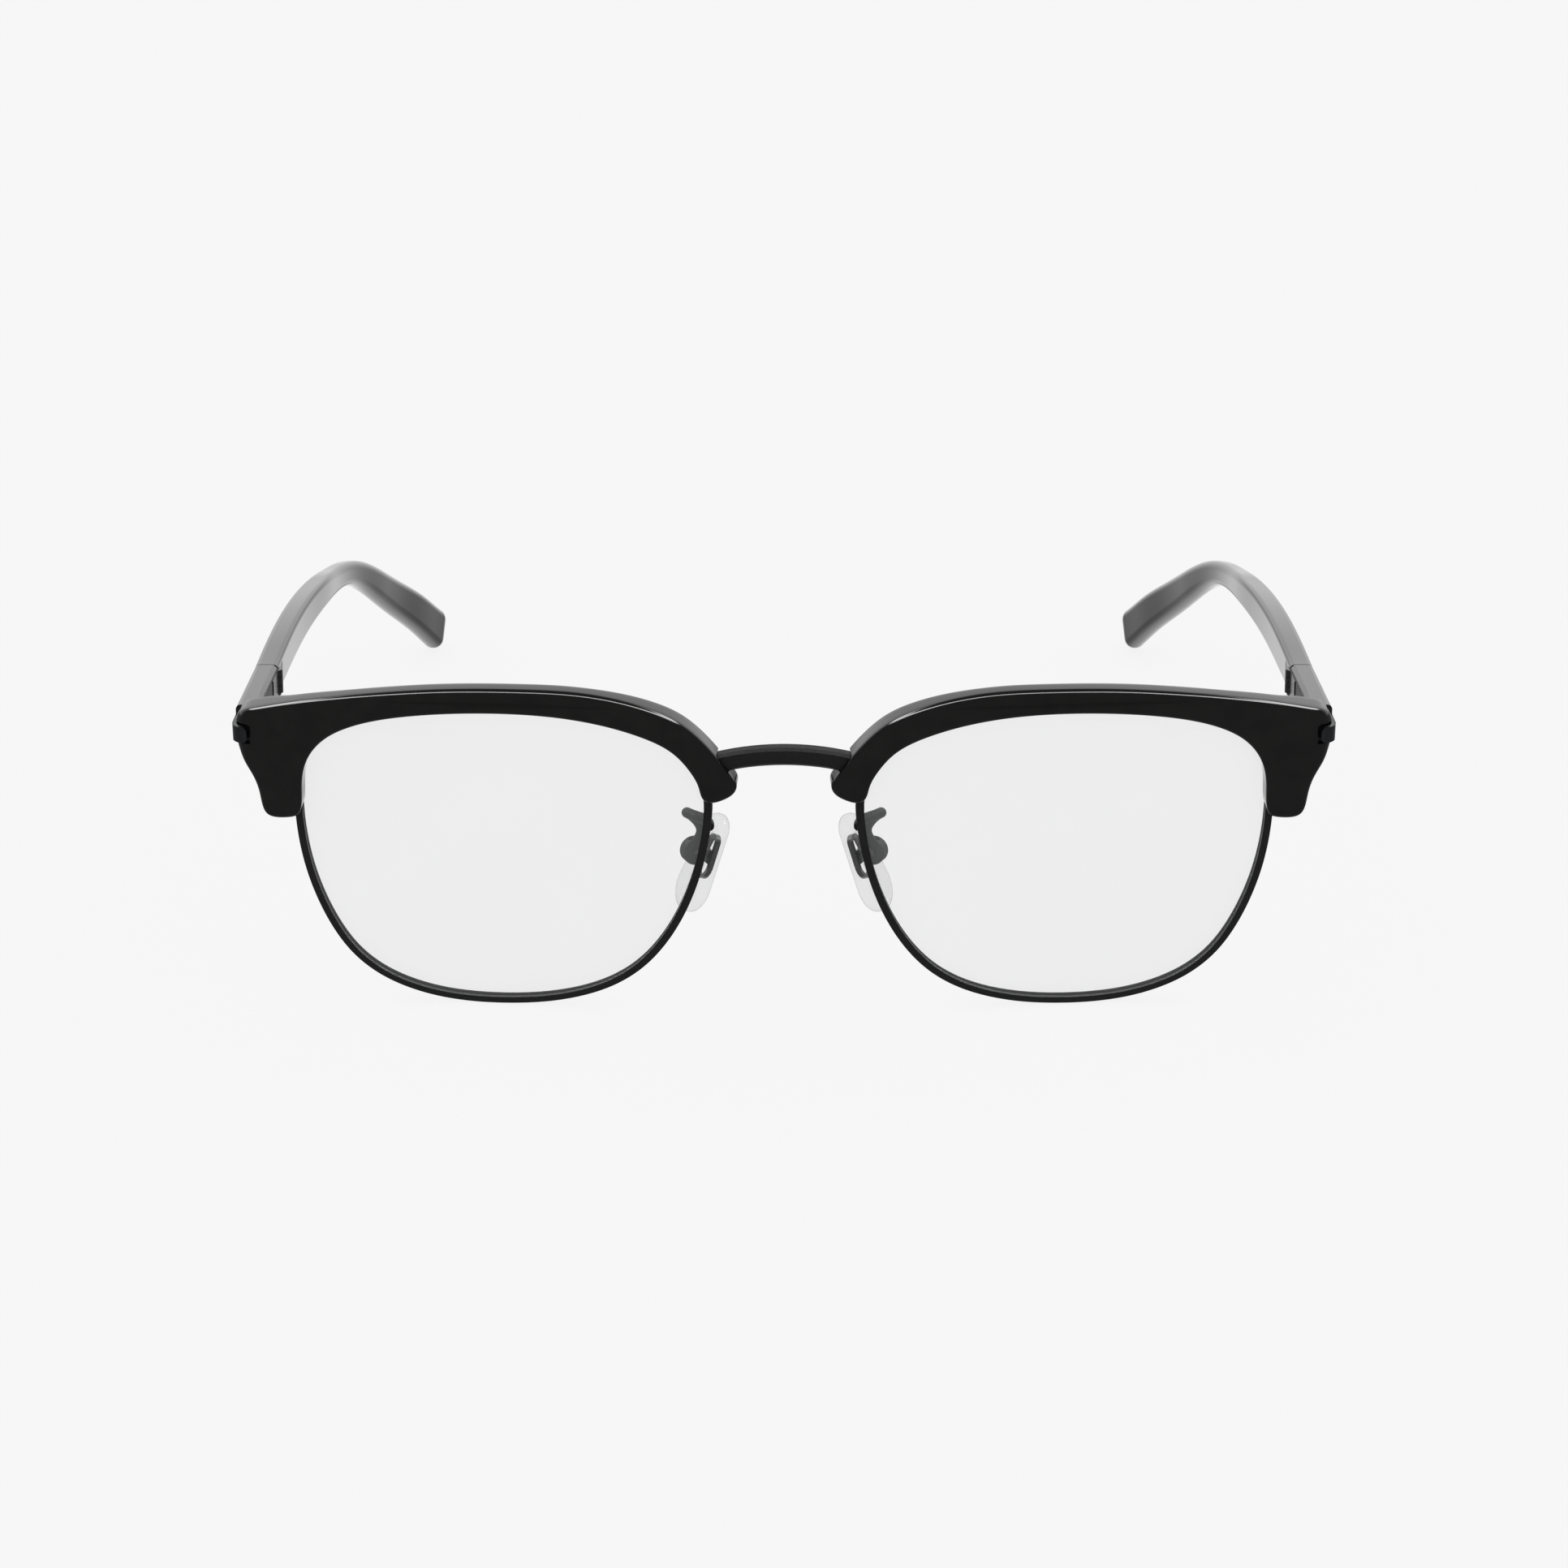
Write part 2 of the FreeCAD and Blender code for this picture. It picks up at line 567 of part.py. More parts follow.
def bridge_slot(side):
    """Room for the bridge behind one brow's nasal end, in the front frame."""
    clearance = BRIDGE_CLEARANCE
    radius = size("bridge_radius") + clearance
    top = size("bridge_top") + clearance
    height = size("bridge_height") + 2 * clearance
    half_span = size("bridge_half_span")
    upper, upper_end = bridge_arc(radius, top, half_span)
    lower, lower_end = bridge_arc(radius - height, top - height, half_span)
    edges = [upper.toShape(), lower.toShape(),
             Part.makeLine(Vector(-half_span, upper_end, 0), Vector(-half_span, lower_end, 0)),
             Part.makeLine(Vector(half_span, upper_end, 0), Vector(half_span, lower_end, 0))]
    face = Part.Face(Part.Wire(Part.__sortEdges__(edges)))
    face.rotate(Vector(0, 0, 0), X_AXIS, 90)
    face.translate(Y_AXIS * (size("bridge_front") - clearance))
    slot = face.extrude(Y_AXIS * POCKET_BACK)
    return slot.fuse(bridge_screw_hole(side))


def make_bridge():
    body = doc.addObject("PartDesign::Body", "bridge_bar")
    radius, top, height = size("bridge_radius"), size("bridge_top"), size("bridge_height")
    half_span = size("bridge_half_span")
    upper, upper_end = bridge_arc(radius, top, half_span)
    lower, lower_end = bridge_arc(radius - height, top - height, half_span)
    sides = [Part.LineSegment(Vector(s * half_span, upper_end, 0), Vector(s * half_span, lower_end, 0))
             for s in (-1, 1)]
    sketch = body_sketch(body, "bridge_profile", "XZ_Plane", [upper, lower] + sides)
    bar = body.newObject("PartDesign::Pad", "bridge_bar_pad")
    bar.Profile = sketch
    bar.setExpression("Length", "sizes.bridge_depth")
    bar.Reversed = True
    doc.recompute()
    front_top = ["Edge%d" % k for k, edge in enumerate(bar.Shape.Edges, start=1)
                 if edge.Length > half_span and abs(edge.CenterOfMass.y) < 0.01]
    bevel = body.newObject("PartDesign::Chamfer", "bridge_bevel")
    bevel.Base = (bar, front_top)
    bevel.setExpression("Size", "sizes.bridge_bevel")
    body.Placement = Placement(Y_AXIS * size("bridge_front"), Rotation())
    ends = []
    for word, side in SIDES.items():
        rim_face = outline_prism(side, size("rim_width"))
        rim_face.Placement = FRONT_FRAME.inverse().multiply(lens_frame(side))
        ends.append(feature("bridge_end_" + word, rim_face))
        ends.append(feature("bridge_hole_" + word, bridge_screw_hole(side)))
    finish(cut("bridge_cut", body, *ends), "bridge", FRONT_FRAME)


def make_brow_screws(side, word):
    """Two slotted screws that hold the brow from behind: one in the bridge, one in the ear."""
    to_lens = lens_frame(side).inverse().multiply(FRONT_FRAME)
    bridge_back = size("bridge_front") + size("bridge_depth")
    inner_start = Vector(side * BRIDGE_SCREW_X, BRIDGE_SCREW_FRONT, BRIDGE_SCREW_UP)
    inner_seat = Vector(side * BRIDGE_SCREW_X, bridge_back, BRIDGE_SCREW_UP)
    outer_start = Vector(side * EAR_SCREW_ACROSS, EAR_SCREW_FRONT + SCREW_END_ROOM, EAR_SCREW_UP)
    outer_seat = Vector(side * EAR_SCREW_ACROSS, EAR_BACK, EAR_SCREW_UP)
    slot_length = 3 * size("small_head_radius")
    slot_width, slot_depth = size("small_slot_width"), size("small_slot_depth")
    screws = []
    for start, seat, shift in ((inner_start, inner_seat, to_lens),
                               (outer_start, outer_seat, Placement())):
        head_end = seat + Y_AXIS * size("small_head_height")
        screw = rod(size("small_screw_radius"), start, seat)
        screw = screw.fuse(rod(size("small_head_radius"), seat, head_end))
        slot = Part.makeBox(slot_length, 2 * slot_depth, slot_width,
                            Vector(seat.x - slot_length / 2, head_end.y - slot_depth,
                                   seat.z - slot_width / 2))
        screw = screw.cut(slot)
        screw.Placement = shift
        screws.append(screw)
    finish(feature("brow_screws_shape_" + word, Part.makeCompound(screws)), "brow_screws_" + word,
           lens_frame(side))


# ---------------------------------------------------------------- end piece, hinge, temple
# The temple's centre line in the temple frame: outward, back, up, and the section's height.
TEMPLE_LINE = [(1.125, 0.0, 0.0, 4.4), (1.0, 11.5, 0.0, 4.6), (0.65, 25.5, -0.1, 4.6),
               (-0.05, 39.6, -0.55, 4.35), (-0.8, 51.7, -1.55, 3.95), (-1.25, 61.7, -3.0, 3.45),
               (-2.0, 70.8, -4.5, 3.2), (-3.3, 80.0, -6.95, 3.4), (-5.05, 90.2, -11.3, 4.0),
               (-6.8, 101.5, -16.7, 4.8), (-8.7, 112.8, -22.0, 5.6), (-11.0, 123.9, -28.0, 6.2)]
SECTIONS_PER_SPAN = 2
# End cap: distance before the tip, share of the height, share of the thickness.
TIP_CORNER = 0.45           # most a tip section's corners may take of its thickness
TIP_CAP = [(1.9, 1.0, 1.0), (1.2, 0.97, 0.95), (0.55, 0.87, 0.82), (0.15, 0.7, 0.6), (0.0, 0.55, 0.4)]
CORE_START = 5.5            # the core starts this far behind the hinge axis
CORE_END = 0.93             # and ends at this share of the temple's length
CORE_STATIONS = 14
END_STATIONS = [(-9.0, 4.6, -0.1, 0.2), (-21.0, 4.9, -0.25, 0.45)]  # back, height, rise, outward
END_HEIGHT = 4.4            # the end piece's height at the seam
CUT_MARGIN = 0.5            # cutting boxes stand this far out of the bar
BARREL_WALL = 0.13          # rebate's wall before the barrel
REBATE_HEIGHT = 8.0


def rounded_section(side, width, height, corner):
    """Closed wire of a rounded rectangle about the origin, in the XZ plane."""
    half_w, half_h = width / 2, height / 2
    quarter = corner * (1 - math.sqrt(0.5))
    marks = [(half_w, half_h, 1, 1), (-half_w, half_h, -1, 1), (-half_w, -half_h, -1, -1),
             (half_w, -half_h, 1, -1)]
    edges = []
    last = None
    first = None
    for across, up, sx, sz in marks:
        side_end = Vector(side * across, 0, up - sz * corner)
        top_end = Vector(side * (across - sx * corner), 0, up)
        middle = Vector(side * (across - sx * quarter), 0, up - sz * quarter)
        begin, end = (side_end, top_end) if sx * sz > 0 else (top_end, side_end)
        if last is not None:
            edges.append(Part.makeLine(last, begin))
        else:
            first = begin
        edges.append(Part.Arc(begin, middle, end).toShape())
        last = end
    edges.append(Part.makeLine(last, first))
    return Part.Wire(edges)


def temple_curve(side):
    """The temple's centre line, straight back at the hinge and falling at the tip."""
    curve = Part.BSplineCurve()
    curve.interpolate([Vector(side * a, b, c) for a, b, c, _ in TEMPLE_LINE],
                      InitialTangent=Y_AXIS,
                      FinalTangent=Vector(side * -0.2, 0.87, -0.46))
    return curve


def station_place(curve, parameter, straight):
    """A section's placement on the centre line, upright and square to it."""
    along = Y_AXIS if straight else curve.tangent(parameter)[0]
    across = along.cross(Z_AXIS).normalize()
    up = across.cross(along)
    return Placement(curve.value(parameter), Rotation(across, along, up, "YZX"))


def height_at(back):
    for (_, b0, _, h0), (_, b1, _, h1) in zip(TEMPLE_LINE, TEMPLE_LINE[1:]):
        if back <= b1:
            share = (back - b0) / (b1 - b0)
            return h0 + (h1 - h0) * share
    return TEMPLE_LINE[-1][3]


def temple_blank(side):
    """Loft of upright rounded rectangles, with a domed tip."""
    curve = temple_curve(side)
    spans = (len(TEMPLE_LINE) - 1) * SECTIONS_PER_SPAN
    parameters = [k / spans for k in range(spans)]
    last = curve.LastParameter
    sections = []
    for k, share in enumerate(parameters):
        place = station_place(curve, share * last, k == 0)
        height = height_at(place.Base.y)
        wire = rounded_section(side, size("bar_thickness"), height, size("bar_corner"))
        wire.Placement = place
        sections.append(wire)
    end = curve.length()
    for before, tall, thick in TIP_CAP:
        parameter = curve.parameterAtDistance(end - before, curve.FirstParameter)
        height = height_at(curve.value(parameter).y) * tall
        width = size("bar_thickness") * thick
        wire = rounded_section(side, width, height, min(TIP_CORNER * width, size("bar_corner")))
        wire.Placement = station_place(curve, parameter, False)
        sections.append(wire)
    return Part.makeLoft(sections, True, False)


def core_shape(side):
    """The metal wire inside the temple."""
    curve = temple_curve(side)
    start = curve.parameterAtDistance(CORE_START, curve.FirstParameter)
    end = curve.parameterAtDistance(CORE_END * curve.length(), curve.FirstParameter)
    sections = []
    for k in range(CORE_STATIONS):
        place = station_place(curve, start + (end - start) * k / (CORE_STATIONS - 1), False)
        ring = Part.Wire(Part.Circle(Vector(0, 0, 0), Y_AXIS, size("core_radius")).toShape())
        ring.Placement = place
        sections.append(ring)
    return Part.makeLoft(sections, True, False)


def pivot_cylinder(name, radius_text, low_text, length_text):
    item = primitive("Cylinder", name, {"Radius": radius_text, "Height": length_text})
    item.setExpression("Placement.Base.z", low_text)
    return item


def screw_room(word, owner):
    """Hole up to the hinge from below, for the screw and its driver."""
    return pivot_cylinder("screw_room_%s_%s" % (owner, word),
                          "sizes.hinge_head_radius + sizes.driver_clearance",
                          "-sizes.leaf_height / 2 - sizes.driver_depth",
                          "sizes.driver_depth + sizes.driver_overlap")


def barrel_room(word, owner):
    """Room for the hinge's barrels to turn in."""
    return pivot_cylinder("barrel_room_%s_%s" % (owner, word),
                          "sizes.barrel_radius + sizes.barrel_clearance",
                          "-sizes.leaf_height / 2 - sizes.tongue_gap",
                          "sizes.leaf_height + 2 * sizes.tongue_gap")


def leaf_box(name, side, start, length_text, height_text):
    """Room for a hinge leaf, from the bar's inner face outwards."""
    inset, thick = size("pivot_inset"), size("leaf_thickness")
    low = -inset - CUT_MARGIN if side > 0 else inset - thick
    item = primitive("Box", name, {"Length": "sizes.leaf_thickness + %s" % CUT_MARGIN,
                                   "Width": length_text, "Height": height_text})
    item.Placement = Placement(Vector(low, start, 0), Rotation())
    item.setExpression("Placement.Base.z", "-(%s) / 2" % height_text)
    return item


def make_temple(side, word):
    blank = feature("temple_blank_" + word, temple_blank(side))
    core = feature("core_room_" + word, core_shape(side))
    leaf = leaf_box("rear_leaf_room_" + word, side, -0.01, "sizes.rear_leaf_length + 0.01",
                    "sizes.rear_leaf_height")
    finish(cut("temple_cut_" + word, blank, core, leaf, barrel_room(word, "temple"),
               screw_room(word, "temple")),
           "temple_" + word, temple_frame(side))
    finish(feature("temple_core_shape_" + word, core_shape(side)), "temple_core_" + word,
           temple_frame(side))


def make_end_piece(side, word):
    """Acetate block from the brow's back to the temple, square at the seam."""
    stations = [(-size("seam_gap"), END_HEIGHT, 0.0, 0.0)] + END_STATIONS
    sections = []
    for back, height, rise, outward in stations:
        wire = rounded_section(side, size("bar_thickness"), height, size("bar_corner"))
        centre = size("bar_thickness") / 2 - size("pivot_inset") + outward
        wire.Placement = Placement(Vector(side * centre, back, rise), Rotation())
        sections.append(wire)
    blank = feature("end_blank_" + word, Part.makeLoft(sections, True, False))
    tab = corner_tab_shape(side)
    tab.Placement = temple_frame(side).inverse().multiply(lens_frame(side))
    brow_fill = curved_fill(side)
    brow_fill.Placement = temple_frame(side).inverse().multiply(lens_frame(side))
    brow_room = feature("end_brow_room_" + word, brow_fill.fuse(tab))
    leaf = leaf_box("front_leaf_room_" + word, side, -size("front_leaf_length"),
                    "sizes.front_leaf_length + 0.01", "sizes.leaf_height")
    inset = size("pivot_inset")
    past_axis = 0.05
    rebate_low = -inset - CUT_MARGIN if side > 0 else -past_axis
    rebate = primitive("Box", "end_rebate_" + word,
                       {"Length": "sizes.pivot_inset + %s" % (CUT_MARGIN + past_axis),
                        "Width": "sizes.pivot_inset + sizes.seam_gap", "Height": "%s" % REBATE_HEIGHT},
                       Placement(Vector(rebate_low, -inset - BARREL_WALL, -REBATE_HEIGHT / 2),
                                 Rotation()))
    finish(cut("end_cut_" + word, blank, brow_room, leaf, rebate, barrel_room(word, "end"),
               screw_room(word, "end")),
           "end_piece_" + word, temple_frame(side))


def curved_fill(side):
    """Everything ahead of the brow's back face near its outer end, as a cutting tool."""
    centre = Vector(0, size("base_radius"), 0)
    reach = 20.0
    wall = block(side, (reach, 45.0), (-reach, reach), (-5.0, 30.0))
    return wall.cut(Part.makeSphere(size("base_radius") - size("brow_back"), centre))


def leaf_body(name, side, start, length_text, height_text):
    """A hinge leaf with its barrel: plan profile padded both ways from the leaf's middle."""
    body = doc.addObject("PartDesign::Body", name)
    inset, thick = size("pivot_inset"), size("leaf_thickness")
    low = -inset if side > 0 else inset - thick
    plate = body_sketch(body, name + "_plan", "XY_Plane", [])
    length = size("rear_leaf_length") if start == 0 else size("front_leaf_length")
    rectangle(plate, (low, start), (low + thick, start + length), "sizes.leaf_thickness", length_text)
    pad_both_ways(body, name + "_plate", plate, height_text)
    ring = body_sketch(body, name + "_barrel_plan", "XY_Plane", [])
    circle(ring, "sizes.barrel_radius", size("barrel_radius"))
    pad_both_ways(body, name + "_barrel", ring, height_text)
    return body


def make_hinge(side, word):
    """Front leaf with two ears, rear leaf with one tongue, and the screw that joins them."""
    hole = "sizes.hinge_screw_radius + sizes.hinge_screw_clearance"
    front = leaf_body("front_leaf_" + word, side, -size("front_leaf_length"), "sizes.front_leaf_length",
                      "sizes.leaf_height")
    bore = body_sketch(front, "front_bore_plan_" + word, "XY_Plane", [])
    circle(bore, hole, size("hinge_screw_radius") + size("hinge_screw_clearance"))
    pocket_both_ways(front, "front_bore_" + word, bore, "2 * sizes.leaf_height")
    gap = body_sketch(front, "tongue_slot_plan_" + word, "XY_Plane", [])
    circle(gap, "sizes.barrel_radius + sizes.barrel_clearance",
           size("barrel_radius") + size("barrel_clearance"))
    pocket_both_ways(front, "tongue_slot_" + word, gap, "sizes.tongue_height + 2 * sizes.tongue_gap")
    finish(front, "hinge_front_" + word, temple_frame(side))

    rear = leaf_body("rear_leaf_" + word, side, 0, "sizes.rear_leaf_length", "sizes.rear_leaf_height")
    rear_bore = body_sketch(rear, "rear_bore_plan_" + word, "XY_Plane", [])
    circle(rear_bore, hole, size("hinge_screw_radius") + size("hinge_screw_clearance"))
    pocket_both_ways(rear, "rear_bore_" + word, rear_bore, "2 * sizes.leaf_height")
    ears = [pivot_cylinder("ear_room_%s_%s" % (level, word),
                           "sizes.barrel_radius + sizes.barrel_clearance", low, "sizes.leaf_height")
            for level, low in (("top", "sizes.tongue_height / 2"),
                               ("low", "-sizes.tongue_height / 2 - sizes.leaf_height"))]
    finish(cut("rear_leaf_cut_" + word, rear, *ears), "hinge_rear_" + word, temple_frame(side))

    shank = pivot_cylinder("hinge_shank_" + word, "sizes.hinge_screw_radius", "-sizes.leaf_height / 2",
                           "sizes.leaf_height")
    head = pivot_cylinder("hinge_head_" + word, "sizes.hinge_head_radius",
                          "-sizes.leaf_height / 2 - sizes.hinge_head_height", "sizes.hinge_head_height")
    slot = primitive("Box", "hinge_slot_" + word,
                     {"Length": "4 * sizes.barrel_radius", "Width": "sizes.hinge_slot_width",
                      "Height": "sizes.hinge_slot_depth"},
                     Placement(Vector(-2 * size("barrel_radius"), -size("hinge_slot_width") / 2,
                                      -size("leaf_height") / 2 - size("hinge_head_height")), Rotation()))
    joined = fuse("hinge_screw_joined_" + word, shank, head)
    finish(cut("hinge_screw_cut_" + word, joined, slot), "hinge_screw_" + word, temple_frame(side))


# ---------------------------------------------------------------- nose pads
# The pad arm's centre line in the row's directions, from the middle of the face and the
# front's middle plane: outward, back, up.
PAD_ARM_LINE = [(9.65, 0.95, 25.6), (10.15, 2.4, 26.0), (11.6, 3.4, 26.2), (12.5, 4.4, 26.2),
                (12.15, 5.4, 25.6), (11.2, 6.15, 24.4), (10.7, 6.6, 23.1), (10.95, 7.1, 21.8),
                (11.5, 7.6, 20.9)]


def drop_wire(part):
    """Plan of the drop-shaped pad or its insert: two arcs and their tangents."""
    low_r, top_r = size(part + "_low_radius"), size(part + "_top_radius")
    low_z, top_z = size(part + "_low_centre"), size(part + "_top_centre")
    lean = math.asin((low_r - top_r) / (top_z - low_z))
    right_low = Vector(low_r * math.cos(lean), low_z + low_r * math.sin(lean), 0)
    right_top = Vector(top_r * math.cos(lean), top_z + top_r * math.sin(lean), 0)
    left_low = Vector(-right_low.x, right_low.y, 0)
    left_top = Vector(-right_top.x, right_top.y, 0)
    return [Part.Arc(right_low, Vector(0, low_z - low_r, 0), left_low),
            Part.LineSegment(left_low, left_top),
            Part.Arc(left_top, Vector(0, top_z + top_r, 0), right_top),
            Part.LineSegment(right_top, right_low)]


def drop_body(name, part, start_text, thickness_text):
    """A drop-shaped plate whose outer face is start_text from the screw, towards the nose."""
    body = doc.addObject("PartDesign::Body", name)
    sketch = body_sketch(body, name + "_plan", "XZ_Plane", drop_wire(part))
    plate = body.newObject("PartDesign::Pad", name + "_plate")
    plate.Profile = sketch
    plate.Reversed = True
    plate.setExpression("Length", thickness_text)
    body.setExpression("Placement.Base.y", start_text)
    doc.recompute()
    return body, plate


def make_nose_pad(side, word):
    body, plate = drop_body("pad_drop_" + word, "pad", "sizes.pad_face", "sizes.pad_thickness")
    rims = ["Edge%d" % k for k, edge in enumerate(plate.Shape.Edges, start=1)
            if abs(edge.BoundBox.YLength) < 0.01]
    soft = body.newObject("PartDesign::Fillet", "pad_soft_" + word)
    soft.Base = (plate, rims)
    soft.setExpression("Radius", "sizes.pad_rounding")
    recess, _ = drop_body("insert_recess_" + word, "insert", "sizes.pad_face - 0.01",
                          "sizes.insert_thickness + 0.01")
    finish(cut("nose_pad_cut_" + word, body, recess), "nose_pad_" + word, pad_frame(side))

    insert, _ = drop_body("insert_plate_" + word, "insert", "sizes.pad_face",
                          "sizes.insert_thickness")
    across = Rotation(Y_AXIS, 90)
    boss = primitive("Cylinder", "boss_" + word,
                     {"Radius": "sizes.boss_radius", "Height": "sizes.boss_thickness"},
                     Placement(Vector(-size("boss_thickness") / 2, 0, 0), across))
    neck = primitive("Box", "boss_neck_" + word,
                     {"Length": "sizes.boss_thickness", "Width": "sizes.pad_face + 0.1",
                      "Height": "2 * sizes.boss_radius"},
                     Placement(Vector(-size("boss_thickness") / 2, 0, -size("boss_radius")), Rotation()))
    hole = primitive("Cylinder", "boss_hole_" + word,
                     {"Radius": "sizes.pad_screw_radius + sizes.pad_screw_clearance", "Height": "4"},
                     Placement(Vector(-2, 0, 0), across))
    joined = fuse("insert_joined_" + word, insert, boss, neck)
    finish(cut("insert_cut_" + word, joined, hole), "pad_insert_" + word, pad_frame(side))


def pad_box_shape():
    """The cup at the arm's end, in the pad frame: two D-shaped cheeks and a back wall."""
    radius = size("pad_box_radius")
    half_width = size("boss_thickness") / 2 + size("pad_box_gap") + size("pad_box_wall")
    disc = rod(radius, Vector(-half_width, 0, 0), Vector(half_width, 0, 0))
    rims = [edge for edge in disc.Edges if abs(edge.Length - 2 * math.pi * radius) < 0.1]
    ahead = Part.makeBox(4 * half_width, radius, 4 * radius,
                         Vector(-2 * half_width, size("pad_box_front"), -2 * radius))
    return disc.makeFillet(size("pad_box_rounding"), rims).cut(ahead)


def pad_box_room():
    """The slot between the cheeks, for the insert's boss."""
    half_gap = size("boss_thickness") / 2 + size("pad_box_gap")
    radius = size("pad_box_radius")
    return Part.makeBox(2 * half_gap, 2 * radius, 4 * radius,
                        Vector(-half_gap, size("pad_box_wall") - radius, -2 * radius))


def pad_screw_shape():
    half = size("boss_thickness") / 2 + size("pad_box_gap") + size("pad_box_wall")
    shank = rod(size("pad_screw_radius"), Vector(-half, 0, 0), Vector(half, 0, 0))
    head_end = -half - size("pad_head_height")
    head = rod(size("pad_head_radius"), Vector(head_end, 0, 0), Vector(-half, 0, 0))
    width = size("pad_head_height") / 2
    slot = Part.makeBox(width, width, 4 * size("pad_head_radius"),
                        Vector(head_end - width / 3, -width / 2, -2 * size("pad_head_radius")))
    return shank.fuse(head).cut(slot)


def make_pad_arm(side, word):
    """The looped wire, brazed to the back of the eyewire, with the pad's box at its end."""
    to_row = Vector(0, size("depth_shift"), 0)
    line = [Vector(side * a, b, c) + to_row for a, b, c in PAD_ARM_LINE]
    curve = Part.BSplineCurve()
    curve.interpolate(line)
    spine = Part.Wire(curve.toShape())
    tangent = curve.tangent(curve.FirstParameter)[0]
    ring = Part.Wire(Part.Circle(line[0], tangent, size("arm_radius")).toShape())
    wire = spine.makePipeShell([ring], True, True)
    box = pad_box_shape()
    box.Placement = pad_frame(side)
    screw = pad_screw_shape()
    screw.Placement = pad_frame(side)
    room = pad_box_room()
    room.Placement = pad_frame(side)
    rim = doc.getObject("rim_cut_" + word).Shape
    arm = wire.fuse(box).cut(screw).cut(room).cut(rim)
    finish(feature("pad_arm_shape_" + word, largest_solid(arm)), "pad_arm_" + word, Placement())
    finish(feature("pad_screw_shape_" + word, pad_screw_shape()), "pad_screw_" + word, pad_frame(side))


def largest_solid(shape):
    return max(shape.Solids, key=lambda solid: solid.Volume)


# ---------------------------------------------------------------- build, check, write
for word, side in SIDES.items():
    make_lens(side, word)
    make_rim(side, word)
    make_closing_blocks(side, word)
    make_brow(side, word)
    make_brow_screws(side, word)
    doc.recompute()
    make_end_piece(side, word)
    make_temple(side, word)
    make_hinge(side, word)
    make_nose_pad(side, word)
    make_pad_arm(side, word)
make_bridge()
doc.recompute()

failed = [item.Name for item in doc.Objects if {"Invalid", "Error"} & set(item.State)]
for item in SUBPARTS:
    if item.Shape.isNull() or not item.Shape.isValid():
        failed.append(item.Label)
if failed:
    raise RuntimeError("these objects failed: " + ", ".join(failed))
for item in SUBPARTS:
    item.Shape.exportStep("parts/%s.step" % item.Label)
whole = FreeCAD.BoundBox()
for item in SUBPARTS:
    whole.add(item.Shape.BoundBox)
print("sub-parts:", len(SUBPARTS), "box:", whole)
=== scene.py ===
import json
import math

import bmesh
import bpy
import numpy as np
from mathutils import Matrix, Vector
from mathutils.geometry import tessellate_polygon


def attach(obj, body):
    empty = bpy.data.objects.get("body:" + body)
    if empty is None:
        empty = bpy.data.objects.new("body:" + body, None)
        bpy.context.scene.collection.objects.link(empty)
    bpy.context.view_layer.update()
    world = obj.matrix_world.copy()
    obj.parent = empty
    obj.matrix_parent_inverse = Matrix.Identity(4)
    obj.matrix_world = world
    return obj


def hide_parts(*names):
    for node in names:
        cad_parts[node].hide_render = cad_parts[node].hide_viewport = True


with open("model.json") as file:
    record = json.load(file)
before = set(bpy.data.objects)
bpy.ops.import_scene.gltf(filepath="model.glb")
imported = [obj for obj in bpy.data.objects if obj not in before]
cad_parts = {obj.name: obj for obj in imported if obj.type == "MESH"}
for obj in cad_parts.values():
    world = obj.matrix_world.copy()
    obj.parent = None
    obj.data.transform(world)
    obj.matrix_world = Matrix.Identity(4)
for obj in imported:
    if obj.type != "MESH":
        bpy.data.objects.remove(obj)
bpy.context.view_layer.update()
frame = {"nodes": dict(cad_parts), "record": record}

MM = 0.001
# The front's own frame, in millimetres and degrees: the same numbers as the CAD model's sizes.
DEPTH_SHIFT = -73.51
DATUM_HEIGHT = 22.705
FRONT_LEAN = 4.7
FRONT_WRAP = 4.0
LENS_CENTRE_X = 36.3
BASE_RADIUS = 130.0
SIDES = {"right": -1, "left": 1}


# ---------------------------------------------------------------- materials
def new_material(name):
    mat = bpy.data.materials.new(name)
    mat.use_nodes = True
    tree = mat.node_tree
    return mat, tree, tree.nodes["Principled BSDF"]


def add(tree, kind, **settings):
    node = tree.nodes.new(kind)
    for key, value in settings.items():
        if key in node.inputs:
            node.inputs[key].default_value = value
        else:
            setattr(node, key, value)
    return node


def object_coords(tree, scale=(1.0, 1.0, 1.0)):
    """Coordinates in millimetres, so that a noise Scale of 1 means about one blob per mm."""
    coords = add(tree, "ShaderNodeTexCoord")
    mapping = add(tree, "ShaderNodeMapping")
    mapping.inputs["Scale"].default_value = [1000.0 * s for s in scale]
    tree.links.new(coords.outputs["Object"], mapping.inputs["Vector"])
    return mapping.outputs["Vector"]


def noise(tree, vector, scale, detail=3.0, roughness=0.5):
    node = add(tree, "ShaderNodeTexNoise", Scale=scale, Detail=detail, Roughness=roughness)
    tree.links.new(vector, node.inputs["Vector"])
    return node.outputs["Fac"]


def ramp(tree, factor, *stops):
    node = tree.nodes.new("ShaderNodeValToRGB")
    elements = node.color_ramp.elements
    while len(elements) < len(stops):
        elements.new(0.5)
    for element, (place, value) in zip(elements, stops):
        element.position = place
        element.color = (*value, 1.0) if isinstance(value, tuple) else (value, value, value, 1.0)
    tree.links.new(factor, node.inputs["Fac"])
    return node.outputs["Color"]


def bump(tree, shader, height, strength, distance):
    node = add(tree, "ShaderNodeBump", Strength=strength, Distance=distance)
    tree.links.new(height, node.inputs["Height"])
    tree.links.new(node.outputs["Normal"], shader.inputs["Normal"])


